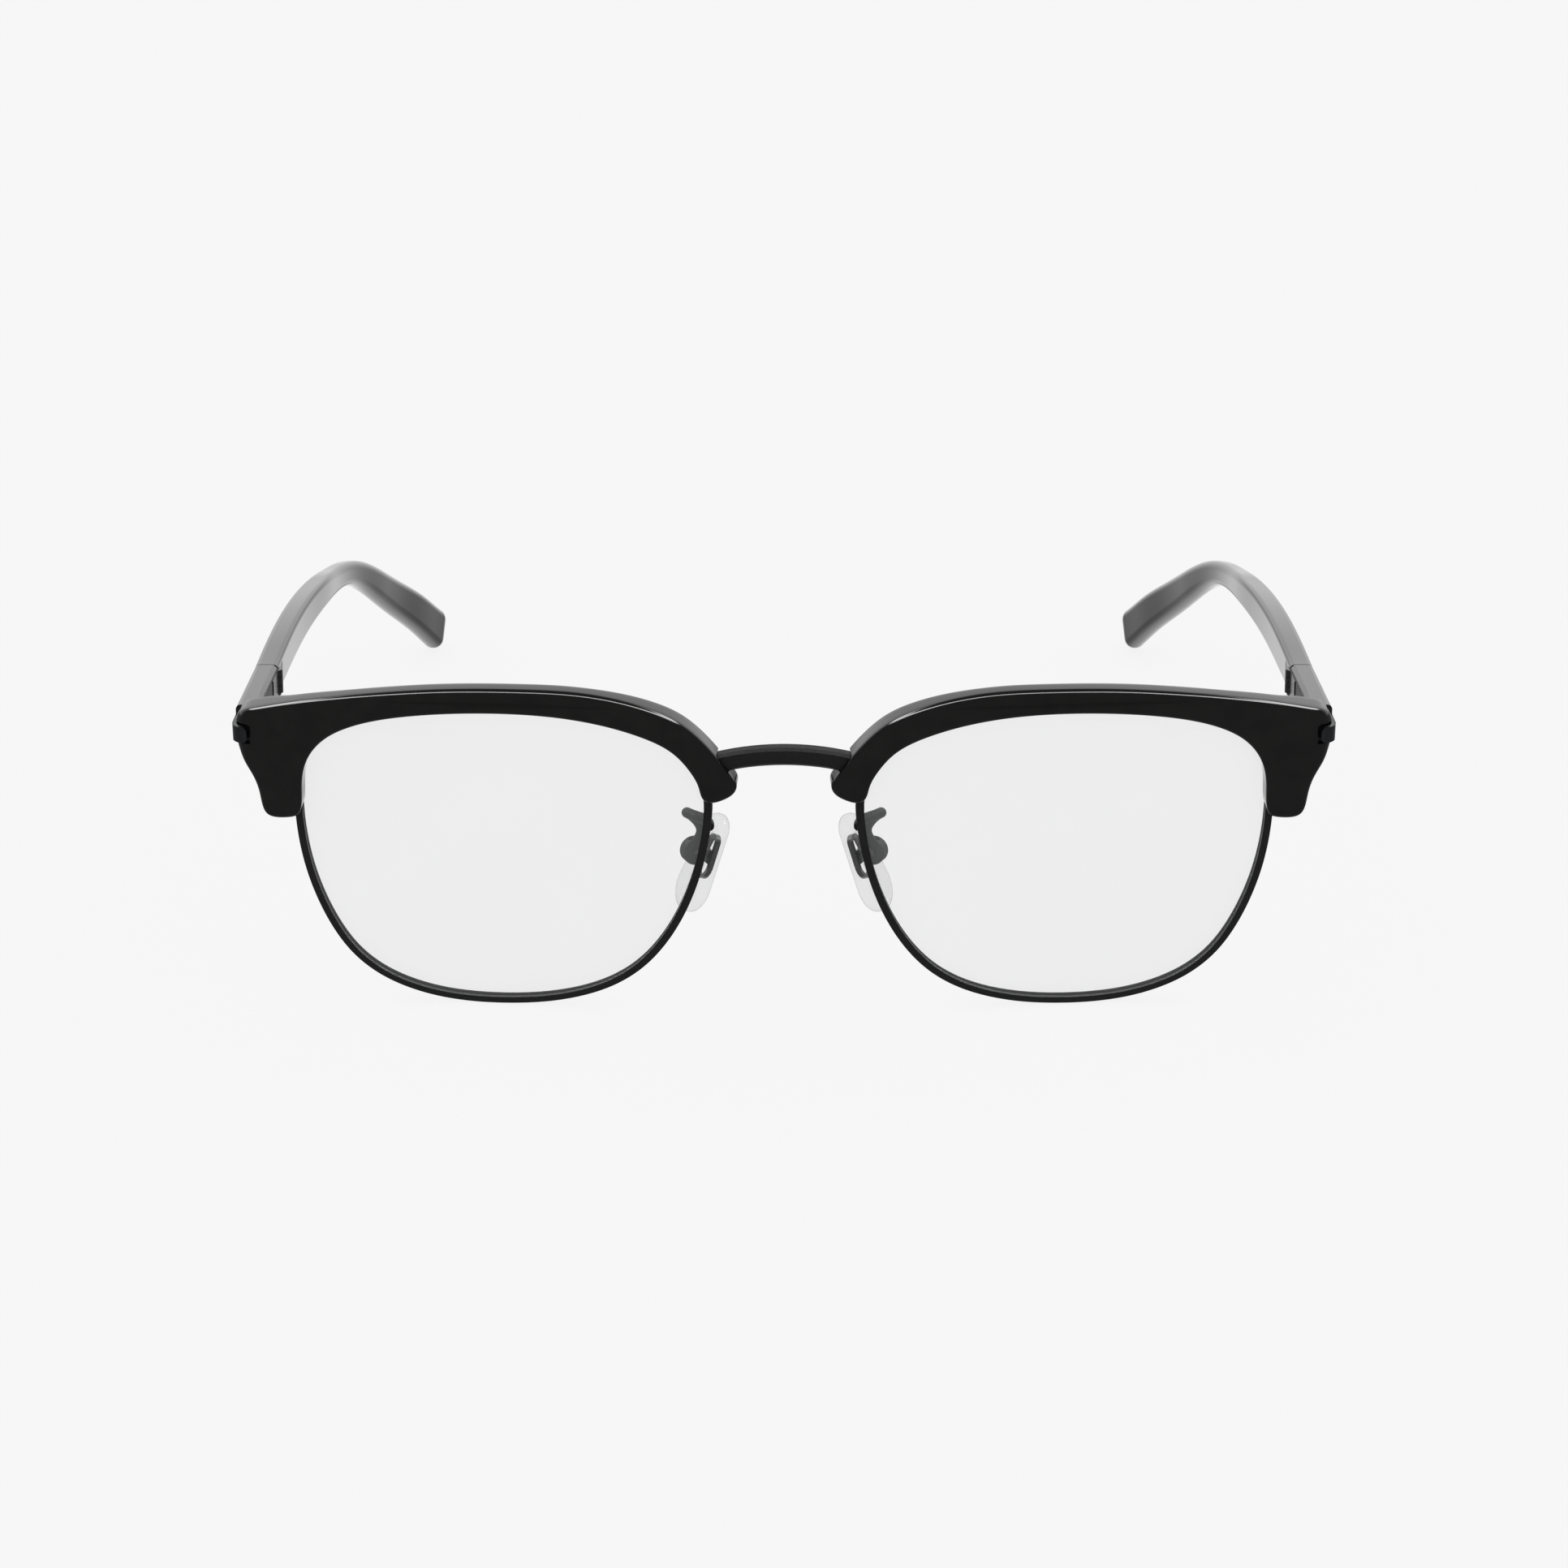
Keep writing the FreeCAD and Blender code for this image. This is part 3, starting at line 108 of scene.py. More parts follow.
def math_node(tree, operation, a, b):
    """One Math node; a and b are numbers or outputs of other nodes."""
    node = add(tree, "ShaderNodeMath", operation=operation)
    for socket, value in zip(node.inputs, (a, b)):
        if isinstance(value, (int, float)):
            socket.default_value = value
        else:
            tree.links.new(value, socket)
    return node.outputs["Value"]


def sanded_on(tree, gloss, side):
    """The same roughness, but that of sanded acetate where the surface faces side along X."""
    sanded = 0.5
    split = add(tree, "ShaderNodeSeparateXYZ")
    tree.links.new(add(tree, "ShaderNodeNewGeometry").outputs["Normal"], split.inputs["Vector"])
    sideways = math_node(tree, "MULTIPLY", split.outputs["X"], side)
    mixed = add(tree, "ShaderNodeMix", data_type="RGBA")
    tree.links.new(ramp(tree, sideways, (0.75, 0.0), (0.92, 1.0)), mixed.inputs["Factor"])
    tree.links.new(gloss, mixed.inputs["A"])
    mixed.inputs["B"].default_value = (sanded, sanded, sanded, 1.0)
    return mixed.outputs["Result"]


def acetate(name, sanded_side=0):
    """Polished black acetate: faint tumbling marks and a slightly uneven gloss. An end piece's
    inner side, facing sanded_side along X, is only sanded."""
    mat, tree, shader = new_material(name)
    where = object_coords(tree)
    tree.links.new(ramp(tree, noise(tree, where, 0.35), (0.35, (0.0062, 0.0062, 0.0060)),
                        (0.7, (0.0092, 0.0091, 0.0087))), shader.inputs["Base Color"])
    gloss = ramp(tree, noise(tree, where, 1.6, 5.0, 0.6), (0.3, 0.05), (0.75, 0.09))
    if sanded_side:
        gloss = sanded_on(tree, gloss, sanded_side)
    tree.links.new(gloss, shader.inputs["Roughness"])
    shader.inputs["IOR"].default_value = 1.47
    shader.inputs["Specular IOR Level"].default_value = 0.36
    bump(tree, shader, noise(tree, where, 0.5, 2.0), 0.02, 0.0001)
    return mat


def satin_metal(name, dark, light, rough, metallic, grain=6.0, specular=0.5):
    """Plated or painted metal: fine grain in the colour, the gloss and the surface. Both colours
    are ends of the grain's range, and so are the two values of rough."""
    mat, tree, shader = new_material(name)
    where = object_coords(tree)
    fine = noise(tree, where, grain, 4.0, 0.6)
    tree.links.new(ramp(tree, fine, (0.3, dark), (0.75, light)), shader.inputs["Base Color"])
    tree.links.new(ramp(tree, noise(tree, where, grain / 3), (0.3, rough[0]), (0.7, rough[1])),
                   shader.inputs["Roughness"])
    shader.inputs["Metallic"].default_value = metallic
    shader.inputs["Specular IOR Level"].default_value = specular
    bump(tree, shader, fine, 0.12, 0.00002)
    return mat


def lens_clear():
    """Clear lens: see-through face on, more mirror-like at a slant, faint smears."""
    mat, tree, shader = new_material("lens_clear_polished")
    where = object_coords(tree)
    smears = noise(tree, where, 0.08, 2.0)
    tree.links.new(ramp(tree, smears, (0.3, (0.60, 0.61, 0.61)), (0.7, (0.66, 0.67, 0.67))),
                   shader.inputs["Base Color"])
    shader.inputs["Roughness"].default_value = 0.02
    facing = add(tree, "ShaderNodeLayerWeight", Blend=0.18)
    tree.links.new(ramp(tree, facing.outputs["Facing"], (0.0, 0.085), (0.55, 0.12), (1.0, 0.75)),
                   shader.inputs["Alpha"])
    return mat


def silicone():
    """Clear silicone: almost colourless, a little cloudy, brighter at its edges."""
    mat, tree, shader = new_material("pad_silicone_clear")
    where = object_coords(tree)
    cloud = noise(tree, where, 0.5, 3.0)
    tree.links.new(ramp(tree, cloud, (0.3, (0.40, 0.41, 0.41)), (0.7, (0.50, 0.505, 0.505))),
                   shader.inputs["Base Color"])
    tree.links.new(ramp(tree, cloud, (0.3, 0.06), (0.7, 0.12)), shader.inputs["Roughness"])
    facing = add(tree, "ShaderNodeLayerWeight", Blend=0.3)
    tree.links.new(ramp(tree, facing.outputs["Facing"], (0.0, 0.09), (0.4, 0.16), (0.62, 0.5),
                        (0.85, 1.0)), shader.inputs["Alpha"])
    bump(tree, shader, cloud, 0.08, 0.0001)
    return mat


MATERIALS = {
    "acetate_black": acetate("acetate_black_polished"),
    "eyewire_black": satin_metal("eyewire_satin_black", dark=(0.010, 0.010, 0.0105),
                                 light=(0.018, 0.018, 0.019), rough=(0.42, 0.55), metallic=0.0,
                                 specular=0.1),
    "lens_clear": lens_clear(),
    "small_metal": satin_metal("screw_steel", dark=(0.10, 0.10, 0.105), light=(0.2, 0.2, 0.205),
                               rough=(0.25, 0.4), metallic=1.0, grain=10.0),
    "tab_gunmetal": satin_metal("tab_gunmetal_polished", dark=(0.018, 0.019, 0.021),
                                light=(0.03, 0.031, 0.034), rough=(0.12, 0.2), metallic=0.6),
    "core_steel": satin_metal("core_wire_steel", dark=(0.4, 0.4, 0.41), light=(0.55, 0.55, 0.56),
                              rough=(0.25, 0.4), metallic=1.0),
    "hinge_metal": satin_metal("hinge_dark_plate", dark=(0.03, 0.03, 0.031),
                               light=(0.06, 0.06, 0.062), rough=(0.25, 0.38), metallic=0.8),
    "pad_silicone": silicone(),
    "insert_gunmetal": satin_metal("insert_gunmetal_plate", dark=(0.08, 0.08, 0.082),
                                   light=(0.14, 0.14, 0.143), rough=(0.2, 0.3), metallic=0.9),
}
END_PIECE_ACETATE = {"end_piece_" + word: acetate("acetate_black_end_" + word, -side)
                     for word, side in SIDES.items()}
SLOT_OF = {part["node"]: part["material_slot"] for part in frame["record"]["subparts"]}
for name, node in frame["nodes"].items():
    node.data.materials.clear()
    node.data.materials.append(END_PIECE_ACETATE.get(name, MATERIALS[SLOT_OF[name]]))


# ---------------------------------------------------------------- mesh helpers
SPAN_POINTS = 40            # fine points between two given ones of a closed spline
ON_BALL = 2e-6              # a point this close to a ball, in metres, lies on it


def front_matrix():
    """The same frame as the CAD's front, in millimetres."""
    place = Matrix.Translation((0.0, DEPTH_SHIFT, DATUM_HEIGHT))
    return place @ Matrix.Rotation(math.radians(FRONT_LEAN), 4, "X")


def lens_matrix(side):
    """The same frame as the CAD's lens_frame, in millimetres."""
    turn = Matrix.Translation((side * LENS_CENTRE_X, 0.0, 0.0))
    return front_matrix() @ turn @ Matrix.Rotation(math.radians(side * FRONT_WRAP), 4, "Z")


def mesh_object(name, points, faces, place, sharp=0.6):
    """A smooth mesh from points in millimetres, its normals turned outwards."""
    mesh = bpy.data.meshes.new(name)
    mesh.from_pydata([(place @ Vector(p)) * MM for p in points], [], faces)
    work = bmesh.new()
    work.from_mesh(mesh)
    bmesh.ops.remove_doubles(work, verts=work.verts, dist=1e-7)
    bmesh.ops.recalc_face_normals(work, faces=work.faces)
    work.to_mesh(mesh)
    work.free()
    mesh.shade_smooth()
    mesh.set_sharp_from_angle(angle=sharp)
    obj = bpy.data.objects.new(name, mesh)
    bpy.context.scene.collection.objects.link(obj)
    return obj


def hermite(a, b, slope_a, slope_b, t):
    """The cubic from a to b with the given slopes, at t from 0 to 1."""
    return ((2 * t**3 - 3 * t**2 + 1) * a + (t**3 - 2 * t**2 + t) * slope_a
            + (3 * t**2 - 2 * t**3) * b + (t**3 - t**2) * slope_b)


def running_length(points):
    """Length along a polyline up to each of its points."""
    return np.concatenate([[0], np.cumsum(np.linalg.norm(np.diff(points, axis=0), axis=1))])


def periodic_spline(points, count):
    """Evenly spaced points along a closed cubic spline through the given ones."""
    knots = np.array(points, float)
    number = len(knots)
    steps = np.linalg.norm(np.roll(knots, -1, axis=0) - knots, axis=1)
    before = np.roll(steps, 1)
    matrix = np.zeros((number, number))
    right = np.zeros_like(knots)
    for k in range(number):
        matrix[k, k - 1] += steps[k]
        matrix[k, k] += 2 * (steps[k] + before[k])
        matrix[k, (k + 1) % number] += before[k]
        ahead = (knots[(k + 1) % number] - knots[k]) / steps[k]
        behind = (knots[k] - knots[k - 1]) / before[k]
        right[k] = 3 * (steps[k] * behind + before[k] * ahead)
    slopes = np.linalg.solve(matrix, right)
    fine = []
    for k in range(number):
        a, b = knots[k], knots[(k + 1) % number]
        da, db = slopes[k] * steps[k], slopes[(k + 1) % number] * steps[k]
        fine += [hermite(a, b, da, db, t) for t in np.linspace(0, 1, SPAN_POINTS, endpoint=False)]
    closed = np.vstack([fine, fine[:1]])
    length = running_length(closed)
    marks = np.linspace(0, length[-1], count, endpoint=False)
    return np.stack([np.interp(marks, length, closed[:, i]) for i in range(2)], axis=1)


def ring_smooth(values, times):
    for _ in range(times):
        values = (np.roll(values, 1, axis=0) + 2 * values + np.roll(values, -1, axis=0)) / 4
    return values


def smooth_step(value, start, end):
    t = np.clip((value - start) / (end - start), 0.0, 1.0)
    return t * t * (3 - 2 * t)


def apply_modifiers(obj):
    """Keep what the object's modifiers make of its mesh, and remove them."""
    bpy.context.view_layer.update()
    result = bpy.data.meshes.new_from_object(obj.evaluated_get(bpy.context.evaluated_depsgraph_get()))
    obj.modifiers.clear()
    obj.data = result


def weigh_normals(obj):
    """Large flat faces keep their own direction; the shading bends only along the rounded edges."""
    modifier = obj.modifiers.new("weigh_normals", "WEIGHTED_NORMAL")
    modifier.keep_sharp = True
    modifier.weight = 100
    apply_modifiers(obj)


def ball_normals(obj, place, radius):
    """Shade the front faces on a ball about the lens's centre of curvature as a true ball."""
    mesh = obj.data
    centre = (place @ Vector((0.0, BASE_RADIUS, 0.0))) * MM
    normals = [Vector(corner.vector) for corner in mesh.corner_normals]
    for face in mesh.polygons:
        arms = [mesh.vertices[index].co - centre for index in face.vertices]
        if all(abs(arm.length - radius * MM) < ON_BALL for arm in arms):
            for loop, arm in zip(face.loop_indices, arms):
                normals[loop] = arm.normalized()
    mesh.normals_split_custom_set(normals)


def cut_away(obj, cutters):
    """Cut the cutters out of the object and remove them from the scene."""
    for cutter in cutters:
        modifier = obj.modifiers.new(cutter.name, "BOOLEAN")
        modifier.operation = "DIFFERENCE"
        modifier.solver = "EXACT"
        modifier.object = cutter
    apply_modifiers(obj)
    for cutter in cutters:
        bpy.data.objects.remove(cutter, do_unlink=True)


def finish_acetate(bar, sharp):
    """A cut acetate bar's material and shading."""
    bar.data.materials.clear()
    bar.data.materials.append(MATERIALS["acetate_black"])
    bar.data.shade_smooth()
    bar.data.set_sharp_from_angle(angle=sharp)
    weigh_normals(bar)


def ring_quads(rings, count):
    """Faces that join each closed ring of count points to the next."""
    return [(r * count + k, r * count + (k + 1) % count, (r + 1) * count + (k + 1) % count,
             (r + 1) * count + k) for r in range(rings - 1) for k in range(count)]


def prism_mesh(outline, low, high, along="Y"):
    """Points and faces of a prism on a plan outline: (x, z) along Y, or (x, y) along Z."""
    count = len(outline)
    if along == "Y":
        points = [(x, end, z) for end in (low, high) for x, z in outline]
    else:
        points = [(x, y, end) for end in (low, high) for x, y in outline]
    caps = [tuple(range(count)), tuple(range(2 * count - 1, count - 1, -1))]
    return points, caps + ring_quads(2, count)


def prism(name, outline, low, high, place, along="Y"):
    return mesh_object(name, *prism_mesh(outline, low, high, along), place)


def circle(radius, count):
    """Points round the origin, counterclockwise from the first axis."""
    return [(radius * math.cos(a), radius * math.sin(a))
            for a in np.linspace(0, 2 * math.pi, count, endpoint=False)]


# ---------------------------------------------------------------- brow
# The bar's outline in the lens frame: (towards the temple, up), from the tip at the nose.
BROW_OUTLINE = [(-30.3, 9.1), (-29.6, 10.5), (-28.0, 12.85), (-26.3, 15.0), (-23.4, 17.75),
                (-19.3, 19.95), (-15.2, 21.3), (-9.1, 22.35), (-3.0, 22.6), (5.3, 22.4),
                (13.6, 21.55), (22.1, 20.1), (27.5, 18.85), (32.2, 17.5), (33.7, 16.8),
                (34.3, 15.6), (34.2, 12.6), (33.4, 10.5), (32.1, 8.4), (31.35, 6.3),
                (31.0, 4.3), (30.5, 3.3), (29.3, 3.0), (27.2, 3.3), (26.2, 3.7),
                (25.75, 4.8), (25.6, 7.8), (24.85, 11.3), (22.3, 14.55), (19.3, 16.3),
                (12.5, 18.25), (5.2, 19.15), (-3.0, 19.3), (-7.1, 19.0), (-13.2, 17.9),
                (-18.3, 16.2), (-22.3, 13.85), (-24.4, 11.3), (-25.5, 8.9), (-26.0, 7.4),
                (-26.9, 7.0), (-28.6, 7.35), (-29.85, 8.05)]
BROW_STATIONS = 420
BROW_FRONT = 2.3            # ahead of the lens's middle surface
ARC_STEPS = 7               # steps in a rounded edge
SHARP_BROW = 0.7            # edges turning by more than this many radians stay sharp

# Where the bar changes, in the lens frame: start and end of each smooth change.
CORNER_ACROSS, CORNER_UP = (32.6, 33.8), (9.0, 12.0)
END_PIECE_ACROSS, END_PIECE_UP = (27.0, 31.0), (8.0, 11.0)
NOSE_ACROSS = (10.0, 24.0)  # counted towards the nose
OUTER_ACROSS = (18.0, 27.0)

# The side of the bar that faces the lens, where the eyewire lies behind it.
LENS_MIDDLE = (0.0, 2.0)
LENS_FACING = 0.25          # least cosine between the way inward and the way from the lens
LENS_SIDE_ACROSS = 26.6

# Radii of the edges. A round takes at most BEND_SHARE of a bend in the outline.
FRONT_ROUND = 0.6
CORNER_EXTRA_ROUND = 0.7
STEP_ROUND = 0.15
BACK_EXTRA_ROUND = 1.15     # the back's round, over the step's
END_PIECE_SHARPER = 0.8     # share taken off the back's round at the end piece
NOSE_SHARPER = 0.45         # and towards the nose
BEND_SHARE = 0.82
FLATTEST_BEND = 1e-3        # one over the largest radius of a bend
FLAT_MARGIN = 0.3           # flat ring inside the front edge, where there is room
LEAST_ROOM = 0.04

# The back's depth behind the lens's middle surface, and what it gains outward and at the nose.
BACK_DEPTH = 0.95
OUTER_EXTRA_DEPTH = 0.3
NOSE_EXTRA_DEPTH = 0.4

STEP_FORWARD = -0.83        # face of the eyewire's step, from the lens's middle surface
# Rings along the step: how far in, and the share of the way from its face to the bar's back.
STEP_PATH = [(0.0, 0.0), (0.04, 0.0), (0.3, 0.0), (1.05, 0.0), (1.08, 0.04), (1.08, 0.9),
             (1.12, 1.0), (1.2, 1.0)]


def outline_bends(outline):
    """The way inward at each point of a closed outline, and the radius of its outward bends."""
    ahead = np.roll(outline, -1, axis=0)
    behind = np.roll(outline, 1, axis=0)
    tangent = (ahead - behind) / np.linalg.norm(ahead - behind, axis=1)[:, None]
    inward = np.stack([tangent[:, 1], -tangent[:, 0]], axis=1)
    step = np.linalg.norm(ahead - outline, axis=1)
    turn = tangent[:, 0] * np.roll(tangent[:, 1], -1) - tangent[:, 1] * np.roll(tangent[:, 0], -1)
    return inward, 1.0 / np.maximum(-turn / step, FLATTEST_BEND)


def least_nearby(values):
    """The least of each value and its two neighbours, smoothed round the ring."""
    return ring_smooth(np.minimum(np.minimum(values, np.roll(values, 1)), np.roll(values, -1)), 6)


def brow_edges(outline, inward, bend_radius):
    """For each point of the outline: 1 on the lens side or 0, the front's and the back's round,
    the back's depth, and the flat margin inside the front edge."""
    across, up = outline[:, 0], outline[:, 1]
    at_corner = smooth_step(across, *CORNER_ACROSS) * smooth_step(up, *CORNER_UP)
    at_end_piece = smooth_step(across, *END_PIECE_ACROSS) * smooth_step(up, *END_PIECE_UP)
    at_nose = smooth_step(-across, *NOSE_ACROSS)

    radial = outline - np.array(LENS_MIDDLE)
    faces_lens = np.sum(inward * radial, axis=1) / np.linalg.norm(radial, axis=1) > LENS_FACING
    lens_side = (faces_lens & (np.abs(across) < LENS_SIDE_ACROSS)).astype(float)
    lens_side = ring_smooth(lens_side, 4)

    limit = BEND_SHARE * bend_radius
    front_round = np.minimum(FRONT_ROUND + CORNER_EXTRA_ROUND * at_corner, limit)
    softness = (1 - END_PIECE_SHARPER * at_end_piece) * (1 - NOSE_SHARPER * at_nose)
    back_round = (BACK_EXTRA_ROUND * (1 - lens_side) + STEP_ROUND) * softness
    back_round = np.minimum(back_round, limit)
    front_round, back_round = least_nearby(front_round), least_nearby(back_round)

    outward = smooth_step(across, *OUTER_ACROSS)
    back = BACK_DEPTH + OUTER_EXTRA_DEPTH * outward + NOSE_EXTRA_DEPTH * at_nose
    room = 0.5 * np.maximum(limit - front_round, LEAST_ROOM)
    return lens_side, front_round, back_round, back, ring_smooth(np.minimum(FLAT_MARGIN, room), 4)


def brow_rings(outline):
    """Rings of points from the flat front over the edges and the wall to the back."""
    inward, bend_radius = outline_bends(outline)
    lens_side, front_round, back_round, back, margin = brow_edges(outline, inward, bend_radius)
    rings = []

    def add_ring(inset, forward):
        places = outline + inward * inset[:, None]
        depths = BASE_RADIUS - np.sqrt((BASE_RADIUS + forward) ** 2 - np.sum(places ** 2, axis=1))
        rings.append(np.stack([places[:, 0], depths, places[:, 1]], axis=1))

    quarter = [math.pi / 2 * k / ARC_STEPS for k in range(ARC_STEPS + 1)]
    add_ring(front_round + margin, BROW_FRONT)
    for angle in reversed(quarter):
        add_ring(front_round * (1 - math.cos(angle)), BROW_FRONT - front_round * (1 - math.sin(angle)))
    wall_end = -(back - back_round) * (1 - lens_side) + (STEP_FORWARD + STEP_ROUND) * lens_side
    wall_start = BROW_FRONT - front_round
    for share in (0.33, 0.67):
        add_ring(np.zeros(len(outline)), wall_start + (wall_end - wall_start) * share)
    # The same rings go round the back's edge and, on the lens side, along the eyewire's step.
    for angle, (step_inset, share) in zip(quarter, STEP_PATH):
        edge_inset = back_round * (1 - math.cos(angle))
        edge_forward = -(back - back_round * (1 - math.sin(angle)))
        step_forward = STEP_FORWARD + (-back - STEP_FORWARD) * share
        add_ring(edge_inset * (1 - lens_side) + step_inset * lens_side,
                 edge_forward * (1 - lens_side) + step_forward * lens_side)
    return rings


def brow_object(side, word):
    """The acetate bar with a soft front edge, a rounder back edge and corner, and a step at its
    lower back for the eyewire."""
    rings = brow_rings(ring_smooth(periodic_spline(BROW_OUTLINE, BROW_STATIONS), 3))
    points = np.concatenate(rings)
    points[:, 0] *= side
    caps = []
    for ring in (0, len(rings) - 1):
        flat = [Vector((p[0], p[2], 0.0)) for p in rings[ring]]
        caps += [tuple(ring * BROW_STATIONS + index for index in tri)
                 for tri in tessellate_polygon([flat])]
    faces = ring_quads(len(rings), BROW_STATIONS) + caps
    bar = mesh_object("brow_soft_" + word, points, faces, lens_matrix(side))
    cut_away(bar, brow_cutters(side, word))
    finish_acetate(bar, SHARP_BROW)
    ball_normals(bar, lens_matrix(side), BASE_RADIUS + BROW_FRONT)
    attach(bar, "front")
    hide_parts("brow_" + word)


# Room in the bar, in the lens frame, and in the front's frame for the bridge's slot.
CUT_BACK = 9.0              # every cutter ends this far back, clear of the bar
SLOT_ARCS = [(35.55, 14.3), (33.0, 11.75)]      # radius and top of the bridge's two edges
SLOT_ACROSS = (2.0, 13.05)
SLOT_FRONT = 0.15
# Pockets for the closing blocks: name, span across, span up, front.
POCKETS = [("closing_pocket", (27.0, 28.96), (3.9, 9.26), 2.14),
           ("ear_pocket", (28.4, 31.16), (7.01, 9.26), 3.24)]


def brow_cutters(side, word):
    """The bridge's slot, the closing blocks' pockets, all open to the back, and the tab's groove."""
    edges = [[(side * x, top - radius + math.sqrt(radius ** 2 - x ** 2))
              for x in np.linspace(*SLOT_ACROSS, 12)] for radius, top in SLOT_ARCS]
    slot_outline = edges[0] + edges[1][::-1]
    cutters = [prism("bridge_slot_" + word, slot_outline, SLOT_FRONT, CUT_BACK, front_matrix())]
    for name, (inner, outer), (low, high), near in POCKETS:
        outline = [(side * inner, low), (side * outer, low), (side * outer, high), (side * inner, high)]
        cutters.append(prism(name + "_" + word, outline, near, CUT_BACK, lens_matrix(side)))
    return cutters + [corner_groove(side, word)]


# The corner tab in the lens frame, as in the CAD model, and the dark groove it lies in.
TAB_HEIGHT = 14.15
TAB_HALF_HEIGHT = 1.1
GROOVE = 0.2                # wider than the tab by this, above and below
GROOVE_OUTER = 34.28        # the brow's outer face there
GROOVE_FRONT = 2.62         # and its front
GROOVE_BEND = 1.2           # radius of the corner between them
GROOVE_DEEP = 0.55
GROOVE_START = (32.25, 1.2, 0.35)   # inner end: across, room ahead, taken off its depth
GROOVE_CLEAR = 1.0          # the cutter stands this far out of the brow
GROOVE_STEPS = 8


def corner_groove(side, word):
    """A shallow groove round the brow's outer corner, a little wider than the tab in it."""
    across, up = GROOVE_OUTER - GROOVE_BEND, GROOVE_FRONT + GROOVE_BEND
    start, ahead, less_deep = GROOVE_START
    rim = [(start, GROOVE_FRONT - ahead)]
    floor = [(start, GROOVE_FRONT + GROOVE_DEEP - less_deep)]
    for k in range(GROOVE_STEPS + 1):
        angle = math.radians(90.0 * k / GROOVE_STEPS)
        for line, radius in ((rim, GROOVE_BEND + GROOVE_CLEAR), (floor, GROOVE_BEND - GROOVE_DEEP)):
            line.append((across + radius * math.sin(angle), up - radius * math.cos(angle)))
    rim.append((GROOVE_OUTER + GROOVE_CLEAR, CUT_BACK))
    floor.append((GROOVE_OUTER - GROOVE_DEEP, CUT_BACK))
    outline = [(side * a, b) for a, b in rim + floor[::-1]]
    half = TAB_HALF_HEIGHT + GROOVE
    return prism("corner_groove_" + word, outline, TAB_HEIGHT - half, TAB_HEIGHT + half,
                 lens_matrix(side), "Z")


# ---------------------------------------------------------------- temples
# The temple's centre line in the temple frame: outward, back, up, and the section's height.
TEMPLE_LINE = [(1.125, 0.0, 0.0, 4.4), (1.0, 11.5, 0.0, 4.6), (0.65, 25.5, -0.1, 4.6),
               (-0.05, 39.6, -0.55, 4.35), (-0.8, 51.7, -1.55, 3.95), (-1.25, 61.7, -3.0, 3.5),
               (-2.0, 70.8, -4.5, 3.4), (-3.3, 80.0, -6.95, 3.85), (-5.05, 90.2, -11.2, 4.6),
               (-6.9, 101.5, -16.5, 5.25), (-8.9, 112.8, -22.0, 5.8), (-11.0, 123.9, -28.0, 6.2)]
PIVOT = (67.45, 26.5 + DEPTH_SHIFT, 36.55)
TEMPLE_DROP = 3.0
BAR_THICKNESS = 3.15
CORNER_POINTS = 6
SHARP_TEMPLE = 0.6          # edges turning by more than this many radians stay sharp
TEMPLE_STATIONS = 90
HINGE_DIRECTION = (0.0, 1.0, 0.0)       # the line's directions at its two ends
TIP_DIRECTION = (-0.2, 0.87, -0.46)
TIP_SWELL = 0.05            # the section's height grows by this per mm at the tip

# Towards the ear the bar's edges soften, and it gets taller and rises by EAR_EXTRA_HEIGHT.
EAR_BACK = (30.0, 95.0)     # start and end of that change
EDGE_RADIUS = 0.75
EAR_EXTRA_RADIUS = 0.7
EAR_EXTRA_HEIGHT = 0.3
CORNER_SHARE = 0.46         # most a corner takes of the section's width or height
TIP_BACK = (92.0, 124.0)    # over this stretch the tip bends further inward
TIP_INWARD = 0.8
TIP_LENGTH = 3.2            # the rounded end has stations of its own over this length
TIP_STATIONS = 16
TIP_RADIUS = 2.0
TIP_SIDE_SHARE = 0.3        # the tip's rounding in plan, against that seen from the side

# The hinge's room in the temple, as in the CAD model.
LEAF_ACROSS, LEAF_BACK, LEAF_HALF_HEIGHT = (-0.95, 0.45), (-0.5, 4.6), 1.45
BARREL_ROOM, BARREL_HALF_HEIGHT = 1.12, 1.65
DRIVER_ROOM, DRIVER_SPAN = 0.77, (-4.6, -1.4)
ROOM_POINTS = 30


def temple_matrix(side):
    place = Matrix.Translation((side * PIVOT[0], PIVOT[1], PIVOT[2]))
    return place @ Matrix.Rotation(math.radians(-TEMPLE_DROP), 4, "X")


